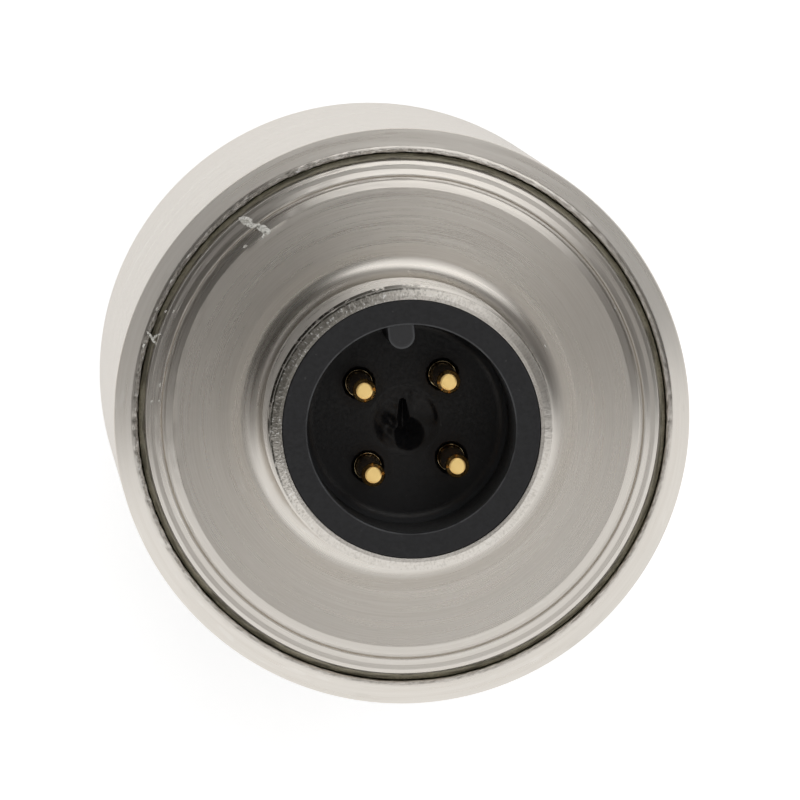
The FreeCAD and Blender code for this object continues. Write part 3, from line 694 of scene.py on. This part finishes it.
station = {
    "columns": 240,
    "studLength": 12.0,
    "studRadius": 6.5785,
    "studChamfer": 1.2,
    "reliefRadius": 5.6985,
    "reliefLength": 2.2,
    "portRadius": 3.0,
    "portChamfer": 0.6,
    "pitch": 1.337,
    "threadDepth": 0.85,
    "threadRunOut": 0.88,      # slope from the thread into the relief
    "recessRadius": 8.30,
    "recessTop": 13.0,
    "collarRadius": 9.45,
    "hexLow": 13.8,
    "hexHigh": 20.0,
    "hexFlats": 19.0,
    "hexChamfer": 30.0,
    "flangeTop": 24.0,
    "slideRadius": 11.22,
    "sealFloor": 10.47,
    "sealLow": 25.25,
    "sealHigh": 26.75,
    "clampBore": 9.80,
    "cellTop": 28.35,
    "cellPocket": 9.05,
    "cellFloor": 22.0,
    "cellSeal": (7.30, 5.325, 20.7),
}


def processConnection():
    s = SimpleNamespace(**station)
    cornerRadius = s.hexFlats / math.sqrt(3)
    threadHigh = s.studLength - s.reliefLength - s.threadRunOut
    sealOut, sealIn, sealFloorHeight = s.cellSeal
    path = roundedPath([
        (s.portRadius + s.portChamfer, 0, 0.05),
        (s.studRadius - s.studChamfer, 0, 0.10),
        (s.studRadius, s.studChamfer, 0, 0.08),
        (s.studRadius, threadHigh, 0, 0.15),
        (s.reliefRadius, s.studLength - s.reliefLength, 0.25),
        (s.reliefRadius, s.recessTop, 0.15),
        (s.recessRadius, s.recessTop, 0.08),
        (s.recessRadius, s.studLength, 0.06),
        (s.collarRadius - 0.3, s.studLength, 0.08),
        (s.collarRadius, s.studLength + 0.3, 0.08),
        (s.collarRadius, s.hexLow),
        (cornerRadius, s.hexLow + 0.001, 0, 0.11),
        (cornerRadius, s.hexHigh - 0.001, 0, 0.2),
        (flangeRadius - 0.5, s.hexHigh, 0.06),
        (flangeRadius, s.hexHigh + 0.5, 0.08, 0.8),
        (flangeRadius, s.flangeTop - 0.15, 0.04),
        (flangeRadius - 0.15, s.flangeTop, 0.04),
        (s.slideRadius, s.flangeTop, 0.03),
        *groove(s.slideRadius, s.sealFloor, s.sealLow, s.sealHigh, after=2.0),
        (s.slideRadius, registerTop - 0.3, 0.08),
        (s.slideRadius - 0.3, registerTop, 0.08),
        (s.clampBore, registerTop, 0.05, 2.0),
        (s.clampBore, s.cellTop, 0.05),
        (s.cellPocket, s.cellTop, 0.05, 2.0),
        (s.cellPocket, s.cellFloor, 0.10),
        (sealOut, s.cellFloor, 0.05),
        (sealOut, sealFloorHeight, 0.08),
        (sealIn, sealFloorHeight, 0.08),
        (sealIn, s.cellFloor, 0.05),
        (s.portRadius, s.cellFloor, 0.08, 2.0),
        (s.portRadius, s.portChamfer, 0.05),
    ])
    grid, radius, angle, height = turned(path, s.columns)
    # thread on the stud, full from the first turn and run out into the relief
    cut = threadCut(angle, height, s.pitch, s.threadDepth)
    cut = cut * smoothStep(height, s.studChamfer - 0.9, s.studChamfer + 0.3)
    minor = s.studRadius - s.threadDepth
    onStud = (radius > minor + 0.01) & (radius < s.studRadius + 0.02)
    onStud &= (height > 0.02) & (height < threadHigh + 0.8)
    radius = np.where(onStud, np.minimum(radius, np.maximum(s.studRadius - cut, minor)), radius)
    # hexagon: the radius of a six-sided prism, cut by the cone of its turned corners at both ends
    sector, flat = fullTurn / 6, s.hexFlats / 2
    prism = np.minimum(flat / np.cos(angle % sector - sector / 2), cornerRadius - 0.10)
    fromEnd = np.minimum(height - s.hexLow, s.hexHigh - height)
    cone = flat + np.maximum(fromEnd, 0) / math.tan(math.radians(s.hexChamfer))
    onHex = (height >= s.hexLow - 0.0005) & (height <= s.hexHigh - 0.0005) & (radius > flat - 0.1)
    radius = np.where(onHex, np.minimum(np.minimum(prism, cone), radius), radius)
    turnedTo(grid, radius)
    makePiece("processConnection", [meshShell(grid, closedAlong=True)], turnedSteel("stud_steel"),
              "turned_steel", "process_connection")


processConnection()
print("process connection made")


sealRing = {"columns": 144, "lip": 0.4}


def threadSealRing():
    low, high, outer = reach("thread_seal_ring")
    inner = station["reliefRadius"] + 0.05
    lip = sealRing["lip"]
    path = roundedPath([
        (inner + lip, low, 0.10), (outer - lip, low, 0.10), (outer, low + lip, 0.12),
        (outer, high, 0.10), (inner, high, 0.10), (inner, low + lip, 0.12),
    ], step=0.3)
    grid = spun(path, sealRing["columns"])
    makePiece("threadSealRing", [meshShell(grid, closedAlong=True)], finishes["seal_rubber"],
              "seal_rubber", "thread_seal_ring")


threadSealRing()


# Insert: cup with a flat rim, pin holes and a recess in its floor, and the coding key on its wall

insert = {
    "columns": 360,
    "bodyRadius": 4.95,
    "cavityRadius": 4.35,
    "edgeBevel": 0.03,
    "sealGroove": (4.25, 2.95, 1.5),      # floor radius, drop of its middle below the cup's floor, width
    "snapGroove": (4.45, 0.65),           # floor radius, width
    "holeRadius": 0.61,
    "holeDepth": 0.5,
    "seatRadius": 1.15,                   # shallow dish round each pin
    "seatDepth": 0.035,
    "recessRadius": 1.5,
    "recessDepth": 0.07,
    "gateTurn": -6.0,                     # the moulding mark in the recess, turned by this many degrees
    "pit": (0.12, -0.55, 0.72, 0.75),     # in it: across, up, radius, depth
    "hollow": (-0.55, -0.20, 0.80, 0.22),
    "cleft": (-0.10, -0.3, 0.8, 0.34),    # across, lower end, upper end, depth
    "shelf": (0.84, 0.54),                # the shelf beside it, painted paler as lit
    "keyWidth": 1.13,
    "keyReach": 1.0,
    "keyDrop": 0.06,
    "pinCircle": 2.5,
    "firstPin": 45.0,
}
pinPlaces = [[insert["pinCircle"] * part(math.radians(insert["firstPin"] + 90 * i))
              for part in (math.cos, math.sin)] for i in range(4)]


insertLook = {
    "light": (0.0095, 0.0095, 0.0105),
    "dark": (0.0050, 0.0050, 0.0058),
    "speck": (0.04, 0.04, 0.04),
    # rubbed key top, and painted light on the shelf in the gate mark
    "rubbed": (0.018, 0.018, 0.019),
    # painted highlights on the socket's edge and round the key's top, and painted light on the upper cavity
    # wall
    "pale": (0.040, 0.041, 0.043),
    "roughness": (0.34, 0.50),
    "specular": 0.46,
    "grainPerMm": 7.0,
    "bump": 0.006,
}


def dent(away, size, depth, power):
    # Depth of a hollow at a distance from its middle
    return depth * np.clip(1 - away / size, 0, 1) ** power


def contactCarrier():
    n = SimpleNamespace(**insert)
    head = carrierHeadRadius
    ceiling = capFace - cap["ceilingDrop"]
    sealRadius, sealDrop, sealWidth = n.sealGroove
    snapRadius, snapWidth = n.snapGroove
    sealLow, sealHigh = [insertFloor - sealDrop + side * sealWidth / 2 for side in (-1, 1)]
    path = roundedPath([
        (0, carrierLow, 0, 0.8),
        (n.bodyRadius, carrierLow, 0.05),
        *groove(n.bodyRadius, snapRadius, ceiling - snapWidth, ceiling, 0.03, 0.05),
        *groove(n.bodyRadius, sealRadius, sealLow, sealHigh, 0.03, after=1.5),
        (n.bodyRadius, shoulder, 0.05),
        (head, shoulder, 0.05),
        (head, carrierTop - n.edgeBevel, 0.05),
        (head - n.edgeBevel, carrierTop, 0.05, 0.2),
        (n.cavityRadius, carrierTop, 0.06, 0.8),
        (n.cavityRadius, insertFloor, 0.45, 0.05),
        (0, insertFloor),
    ], closed=False, guard=0.03)
    grid = spun(path, n.columns)
    x, y = grid[..., 0], grid[..., 1]
    radius = np.hypot(x, y)
    onFloor = (np.arange(len(path)) > len(path) // 2)[:, None] & (radius < n.cavityRadius - 0.47)
    # floor: a recess with the mark of the moulding gate, which is a pit below the middle, a cleft that
    # narrows above it and a shelf and a hollow beside them; and a dished seat with a hole at each pin
    turn = math.radians(n.gateTurn)
    across, up = x * math.cos(turn) + y * math.sin(turn), y * math.cos(turn) - x * math.sin(turn)
    sunk = n.recessDepth * (1 - smoothStep(radius, n.recessRadius - 0.45, n.recessRadius + 0.05))
    middle, height, size, depth = n.pit
    pit = dent(np.hypot(across - middle, up - height), size, depth, 1.3)
    middle, height, size, depth = n.hollow
    hollow = dent(np.hypot(across - middle, 0.8 * (up - height)), size, depth, 1.3)
    hollow = hollow * (1 + 0.5 * np.sin(7 * across + 3 * up) * np.sin(6 * up + 1))
    middle, low, high, depth = n.cleft
    size = 0.42 - 0.30 * np.clip((up - low) / 1.2, 0, 1)
    cleft = dent(np.hypot(across - middle, up - np.clip(up, low, high)), size, depth, 1.2)
    shelf = 0.10 * smoothStep(across, 0.1, 0.5) * (across - up * 0.6 - 0.2) * smoothStep(up, -0.3, 0.3)
    sunk = sunk + (np.maximum(np.maximum(pit, cleft), hollow) + shelf) * (1 - smoothStep(radius, 1.20, 1.42))
    for pinX, pinY in pinPlaces:
        away = np.hypot(x - pinX, y - pinY)
        sunk = np.maximum(sunk, n.seatDepth * (1 - smoothStep(away, 0.55, n.seatRadius)))
        sunk = np.maximum(sunk, n.holeDepth * (1 - smoothStep(away, n.holeRadius, n.holeRadius + 0.05)))
    grid[..., 2] -= np.where(onFloor, sunk, 0)
    return [meshShell(grid, poles=(True, True)), codingKey()]


def codingKey():
    # D-shaped column: the outline goes along one side, round the nose and back, and its top edge is rounded
    n = SimpleNamespace(**insert)
    half = n.keyWidth / 2
    rootY = (n.cavityRadius + n.bodyRadius) / 2
    noseY = n.cavityRadius - n.keyReach + half
    turn = np.linspace(0, -math.pi, 33)
    side = np.linspace(rootY, noseY, 9)[:-1]
    outline = np.concatenate([
        np.stack([np.full(8, half), side], 1),
        np.stack([half * np.cos(turn), noseY + half * np.sin(turn)], 1),
        np.stack([np.full(8, -half), side[::-1]], 1),
        np.stack([np.linspace(-half, half, 9)[1:-1], np.full(7, rootY)], 1)])
    outline = outline[::-1]
    top = carrierTop - n.keyDrop
    middle = np.array([0, noseY])
    edge = 0.07
    arc = np.linspace(0, math.pi / 2, 5)
    inset = np.concatenate([[0, 0], edge * (1 - np.cos(arc)), [edge * 3, half * 0.9, half]])
    height = np.concatenate([[insertFloor - 0.2, top - edge - 0.02], top - edge + edge * np.sin(arc),
                             [top, top, top]])
    inward = middle - outline
    inward = inward / np.maximum(np.linalg.norm(inward, axis=1)[:, None], half)
    grid = np.stack([np.column_stack([outline + inward * step, np.full(len(outline), z)])
                     for step, z in zip(inset, height)])
    return meshShell(capped(grid, (0, noseY, insertFloor - 0.2), (0, noseY, top)), poles=(True, True))


def insertBlack():
    # Black glass-filled plastic, rubbed paler on the key; painted highlights on the socket's edge and the
    # key's rim, painted light on the upper wall and the gate mark's shelf
    look, n = SimpleNamespace(**insertLook), SimpleNamespace(**insert)
    material, tree, shader = newTree("insert_black")
    place, radius, z, cosine, sine = millimetres(tree)
    x, y, wall = times(cosine, radius), times(sine, radius), n.cavityRadius
    grain = noise(place, look.grainPerMm, 3.0, 0.6)
    cloud = noise(place, 0.9, 3.0, 0.6)
    speck = noise(place, look.grainPerMm * 0.8, 1.0, 0.5)
    onTop = mapped(z, carrierTop - 0.12, carrierTop - 0.06)
    # painted highlight along the inner edge of the socket's rim
    edge = times(between(radius, wall - 0.02, wall + 0.01, wall + 0.04, wall + 0.09), onTop,
                 mapped(cloud, 0.35, 0.65, 0.25, 1.0))
    half = n.keyWidth / 2
    noseY = wall - n.keyReach + half
    past = calc("MINIMUM", calc("SUBTRACT", y, noseY), 0.0)
    fromNose = calc("SQRT", calc("ADD", times(x, x), times(past, past)))
    onKey = times(mapped(fromNose, half, half + 0.03, 1.0, 0.0), onTop,
                  mapped(y, noseY - half - 0.05, noseY - half), mapped(radius, wall, wall + 0.1, 1.0, 0.0))
    # painted highlight round the top edge of the key
    outline = times(onKey, mapped(fromNose, half - 0.13, half - 0.04), mapped(cloud, 0.3, 0.6, 0.3, 1.0))
    # painted light on the shelf beside the gate mark
    fromShelf = put(tree, "VectorMath", {"operation": "DISTANCE"},
                    {0: place, 1: (*n.shelf, insertFloor)}).outputs["Value"]
    litShelf = mapped(calc("MULTIPLY_ADD", cloud, 0.5, fromShelf), 0.45, 0.85, 0.75, 0.0)
    # painted light: the upper cavity wall paler towards the top
    litUpperWall = times(mapped(radius, wall - 0.40, wall - 0.05),
                   mapped(z, carrierTop - 0.5, carrierTop - 0.1, 1.0, 0.0))
    tone = mixed(mapped(grain, 0.3, 0.7), look.dark, look.light)
    for share, over in ((times(onKey, 0.9), look.rubbed), (outline, look.pale), (edge, look.pale),
                        (litShelf, look.rubbed), (litUpperWall, look.pale),
                        (mapped(speck, 0.74, 0.80, 0.0, 0.5), look.speck)):
        tone = mixed(share, tone, over)
    fill(shader.inputs, {"Base Color": tone, "Roughness": mapped(grain, 0.3, 0.7, *look.roughness),
                         "Specular IOR Level": look.specular,
                         "Normal": bumped(calc("MULTIPLY_ADD", cloud, 0.5, grain), 0.5, look.bump)})
    return material


makePiece("contactCarrier", contactCarrier(), insertBlack(), "insert_plastic", "contact_carrier")
print("insert made")


# Contact pins: rounded flat tip, drawn shank, collar in the insert's hole, solder tail

pin = {
    "columns": 64,
    "radius": 0.5,
    "tipRadius": 0.28,
    "tipLength": 0.22,
    "beadRadius": 0.580,        # thin raised ring round the foot of the shank
    "collarRadius": 0.60,
    "collarTop": 0.45,          # below the insert's floor
    "collarLength": 2.0,
    "tailRadius": 0.4,
    "lean": 0.04,               # fall of the cut tip across its width
}


def contactPin(number):
    # Tail, collar, ring, shank and a rounded tip as one profile carried round the pin's own axis
    p = SimpleNamespace(**pin)
    low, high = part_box(f"contact_pin_{number}")
    low, high = low.z * perMetre, high.z * perMetre
    collarTop, bead = insertFloor - p.collarTop, insertFloor - 0.02
    path = roundedPath([
        (0, low, 0),
        (p.tailRadius, low, 0.08, 1.5),
        (p.tailRadius, collarTop - p.collarLength, 0.02),
        (p.collarRadius, collarTop - p.collarLength, 0.05, 0.8),
        (p.collarRadius, collarTop, 0.04),
        (p.beadRadius, collarTop + 0.02, 0.01),
        (p.beadRadius, bead, 0.012, 0.05),
        (p.beadRadius - 0.03, bead, 0.008, 0.05),
        (p.radius, bead - 0.25, 0.01, 1.2),
        (p.radius, high - p.tipLength, 0.10, 0.05),
        (p.tipRadius, high, 0.03, 0.06),
        (0, high),
    ], closed=False)
    grid, radius, angle, height = turned(path, p.columns)
    # the cut-off tip is faintly domed and leans to one side
    tip = (height > high - 0.05) & (radius < p.tipRadius + 0.03)
    picker = np.random.default_rng(20 + number)
    lean, depth = math.radians(225) + picker.uniform(-0.4, 0.4), picker.uniform(0.004, 0.010)
    uneven = depth * (radius / p.tipRadius) ** 2 + p.lean * (radius * np.cos(angle - lean) + p.tipRadius)
    grid[..., 2] -= np.where(tip, np.maximum(uneven, 0), 0)
    x, y = pinPlaces[number - 1]
    grid[..., 0] += x
    grid[..., 1] += y
    makePiece(f"contactPin{number}", [meshShell(grid, poles=(True, True))], finishes["gold_plating"],
              "gold_plating", f"contact_pin_{number}")


for number in range(1, 5):
    contactPin(number)
print("pins made")


# Burrs: a torn strip of metal across the beads, a whisker over the gap, and small raised flecks

burrs = {
    # points of a route: radius, azimuth in degrees, half width
    "strip": [(10.95, 123.4, 0.07), (10.76, 122.8, 0.18), (10.57, 122.3, 0.17), (10.33, 122.0, 0.10),
              (10.14, 121.2, 0.11), (9.92, 120.5, 0.18), (9.74, 120.0, 0.16), (9.66, 119.7, 0.06)],
    "tail": [(9.80, 120.9, 0.05), (9.72, 121.4, 0.045), (9.64, 122.1, 0.035)],
    "bridge": [(11.46, 155.4, 0.05), (11.20, 156.2, 0.06), (10.98, 157.2, 0.05), (10.88, 157.4, 0.03)],
    "spur": [(11.14, 156.9, 0.03), (11.02, 155.7, 0.05), (10.86, 154.9, 0.04)],
    # flecks: radius, azimuth, length along the edge, half width
    "flecks": [(11.36, 137.0, 0.22, 0.035), (9.86, 126.6, 0.10, 0.05), (11.37, 150.2, 0.12, 0.04),
               (11.00, 150.0, 0.08, 0.035), (10.70, 149.2, 0.10, 0.035), (11.38, 158.6, 0.16, 0.04),
               (11.38, 131.0, 0.14, 0.03), (11.38, 119.5, 0.16, 0.03), (11.37, 143.5, 0.18, 0.03),
               (10.38, 166.3, 0.16, 0.035),
               (10.66, 170.5, 0.14, 0.04), (10.34, 170.0, 0.10, 0.035), (6.75, 20.5, 0.14, 0.03),
               (6.72, 24.0, 0.08, 0.03), (10.12, 21.0, 0.14, 0.03)],
    "rise": 0.45,              # how thick a burr is for its width
    "dark": (0.30, 0.29, 0.26),
    "light": (0.62, 0.61, 0.57),
}


def surfaceHeight(radius):
    # Height under a burr: the face and its steps, a straight line over the gap, and the sleeve's lip
    line = [(11.32, sleeveTop), (11.10, sleeveTop + 0.10),
            *[(step[0], capFace - step[1]) for step in cap["steps"]], (6.9, capFace)]
    return np.interp(radius, *np.array(line[::-1]).T)


def torn(route, seed):
    # Tube along a line through the route's points, half sunk in the metal; its width and middle waver
    route = np.array(route)
    t = np.linspace(0, len(route) - 1, 60)
    radius, azimuth, half = [np.interp(t, np.arange(len(route)), column) for column in route.T]
    picker = np.random.default_rng(seed)
    waver = picker.normal(0, 0.13, (60, 3))
    waver = (waver + np.roll(waver, 1, 0) + np.roll(waver, -1, 0)) * half[:, None]
    angle = np.radians(azimuth)
    middle = np.stack([radius * np.cos(angle), radius * np.sin(angle), surfaceHeight(radius)], 1)
    middle = middle + waver * [1, 1, 0.25]
    size = half * np.sin(np.linspace(0.15, math.pi - 0.15, 60)) ** 0.35 * (0.8 + 0.4 * picker.random(60))
    along = np.gradient(middle, axis=0)
    along = along / np.linalg.norm(along, axis=1)[:, None]
    side = np.cross(along, [0, 0, 1.0])
    side = side / np.linalg.norm(side, axis=1)[:, None]
    up = np.cross(side, along)
    ring = np.linspace(0, fullTurn, 18, endpoint=False)
    bumps = 1 + 0.08 * grit((60, 18), seed + 5).clip(-1.5, 1.5)
    across = (side[:, None] * np.cos(ring)[None, :, None]
              + up[:, None] * burrs["rise"] * np.sin(ring)[None, :, None])
    grid = middle[:, None] + across * (size[:, None] * bumps)[..., None]
    return meshShell(capped(grid, middle[0], middle[-1]), poles=(True, True))


def frostedBurr():
    # Torn bright metal, rough on every side, with streaks along the tear
    material, tree, shader = newTree("burr_steel")
    place = millimetres(tree)[0]
    rub = noise(place, 12.0, 3.0, 0.7)
    relief = calc("ADD", rub, noise(stretched(place, (3.0, 16.0, 3.0), -34), 1.0, 2.0, 0.6))
    fill(shader.inputs, {"Base Color": mixed(mapped(relief, 0.8, 1.2), burrs["dark"], burrs["light"]),
                         "Roughness": mapped(rub, 0.3, 0.7, 0.40, 0.62), "Metallic": 0.35,
                         "Normal": bumped(relief, 0.7, 0.02)})
    return material


def edgeBurrs():
    shells = [torn(burrs[key], 40 + i) for i, key in enumerate(("strip", "tail", "bridge", "spur"))]
    for i, (radius, azimuth, length, half) in enumerate(burrs["flecks"]):
        turn = math.degrees(length / 2 / radius)
        shells.append(torn([(radius, azimuth - turn, half), (radius + 0.015, azimuth, half),
                            (radius, azimuth + turn, half)], 60 + i))
    makePiece("edgeBurrs", shells, frostedBurr(), "turned_steel")


edgeBurrs()
print("burrs made")


# The CAD's own pieces keep their shape and take the finish of their slot

slotOf = {name: row["slot"] for row in frame["record"]["materials"] for name in row.get("nodes", [])}
for nodeName, piece in nodes.items():
    if not piece.hide_render:
        piece.data.materials.clear()
        piece.data.materials.append(finishes[slotOf.get(nodeName, "turned_steel")])
print("inner pieces finished")


# Studio: pale floor, plain soft light, and what the metal mirrors

studio = {
    "level": 0.55,                 # plain light from all round on what doesn't shine
    # lamps: name, place and size in metres, power
    "lamps": [("lampAbove", (0.10, 0.25, 0.75), 0.6, 2.6), ("lampSide", (-0.45, -0.45, 0.55), 0.5, 1.3)],
    "floorSize": 4.0,
    "floorTone": (0.86, 0.86, 0.86),
    "floorGlow": 0.38,
    "mirrored": 1.0,              # white walls, as the metal sees them
    # soft patches painted over the walls one by one: azimuth, elevation, half-width, softness, level
    "patches": [
        (97, 3, 80, 34, 0.21),
        (147, 25, 34, 24, 0.18),
        (37, 31, 39, 10, 0.03),
        (139, 31, 24, 10, 0.06),
        (53, 43, 38, 10, 0.14),
        (9, 90, 13, 44, 0.215),
        (71, 47, 24, 10, 1.38),
        (134, 75, 14, 10, 0.03),
        (290, 80, 9, 12, 0.80),
    ],
}


def mirroredRoom(tree, direction):
    tone = (studio["mirrored"],) * 3
    for azimuth, elevation, half, soft, level in studio["patches"]:
        turn, rise = math.radians(azimuth), math.radians(elevation)
        towards = (math.cos(turn) * math.cos(rise), math.sin(turn) * math.cos(rise), math.sin(rise))
        dot = put(tree, "VectorMath", {"operation": "DOT_PRODUCT"}, {0: direction, 1: towards})
        outside, inside = [math.cos(math.radians(half + side * soft / 2)) for side in (1, -1)]
        warm = 1.0 - 0.12 * max(0.0, 1 - level)
        mask = mapped(dot.outputs["Value"], outside, inside)
        tone = mixed(mask, tone, (level, level * warm ** 0.5, level * warm))
    return tone


def rays(tree):
    # Whether the ray comes from the camera, and whether it comes from something shiny or clear
    path = put(tree, "LightPath").outputs
    return path["Is Camera Ray"], calc("MAXIMUM", path["Is Glossy Ray"], path["Is Transmission Ray"])


def makeWorld():
    world = bpy.data.worlds.new("studioWorld")
    bpy.context.scene.world = world
    world.use_nodes = True
    tree = world.node_tree
    direct, shiny = rays(tree)
    room = mirroredRoom(tree, put(tree, "TexCoord").outputs["Generated"])
    tone = mixed(shiny, (studio["level"],) * 3, room)
    fill(tree.nodes["Background"].inputs, {"Color": mixed(direct, tone, (1.0, 1.0, 1.0)), "Strength": 1.0})
    world.cycles.sampling_method = "NONE"


def makeFloor():
    half = studio["floorSize"] / 2
    corners = [(x * half, y * half, 0) for x, y in ((-1, -1), (1, -1), (1, 1), (-1, 1))]
    mesh = bpy.data.meshes.new("studioFloor")
    mesh.from_pydata(corners, [], [(0, 1, 2, 3)])
    material, tree, shader = newTree("floor_paper")
    grain = noise(put(tree, "TexCoord").outputs["Object"], 900.0)
    tone = mixed(grain, tuple(0.985 * c for c in studio["floorTone"]), studio["floorTone"])
    glow = times(calc("MAXIMUM", *rays(tree)), studio["floorGlow"])
    fill(shader.inputs, {"Base Color": tone, "Roughness": 0.9, "Specular IOR Level": 0.0,
                         "Emission Color": (1, 1, 1, 1), "Emission Strength": glow})
    mesh.materials.append(material)
    shown("studioFloor", mesh)


def makeLamp(name, place, size, power):
    # Soft square lamp that points at the middle of the part; metal mirrors the room instead of it
    data = bpy.data.lights.new(name, "AREA")
    data.shape, data.size, data.energy = "SQUARE", size, power
    lamp = shown(name, data)
    lamp.location = place
    lamp.rotation_euler = (Vector((0, 0, 0.04)) - Vector(place)).to_track_quat("-Z", "Y").to_euler()
    lamp.visible_glossy = False
    lamp.visible_camera = False


makeWorld()
makeFloor()
for lampValues in studio["lamps"]:
    makeLamp(*lampValues)


# Camera: looks down on the connector, tipped a little off the axis and rolled so that the key leans left

view = {
    "distance": 0.655,
    "tip": 3.1,
    "tipAzimuth": 120.6,
    "roll": 6.0,
    "lens": 707.0,
    "aim": (-0.483, 1.22),     # from the rim's centre to the middle of the picture, right and up, mm
}


def makeCamera():
    v = SimpleNamespace(**view)
    tip, azimuth = math.radians(v.tip), math.radians(v.tipAzimuth)
    rim = Vector((0, 0, rimTop / perMetre))
    outward = Vector((math.sin(tip) * math.cos(azimuth), math.sin(tip) * math.sin(azimuth), math.cos(tip)))
    place = rim + v.distance * outward
    screenUp = Vector((math.cos(math.radians(90 - v.roll)), math.sin(math.radians(90 - v.roll)), 0))
    screenRight = Vector((screenUp.y, -screenUp.x, 0))
    aim = rim + screenRight * v.aim[0] / perMetre + screenUp * v.aim[1] / perMetre
    back = (place - aim).normalized()
    right = screenUp.cross(back).normalized()
    up = back.cross(right)
    data = bpy.data.cameras.new("camera")
    data.lens = v.lens
    data.sensor_width = 36.0
    data.clip_start, data.clip_end = 0.01, 20.0
    camera = shown("camera", data)
    camera.matrix_world = Matrix((
        (right.x, up.x, back.x, place.x), (right.y, up.y, back.y, place.y),
        (right.z, up.z, back.z, place.z), (0, 0, 0, 1)))
    bpy.context.scene.camera = camera


makeCamera()
bpy.context.scene.view_settings.view_transform = "Standard"
print("studio and camera made")
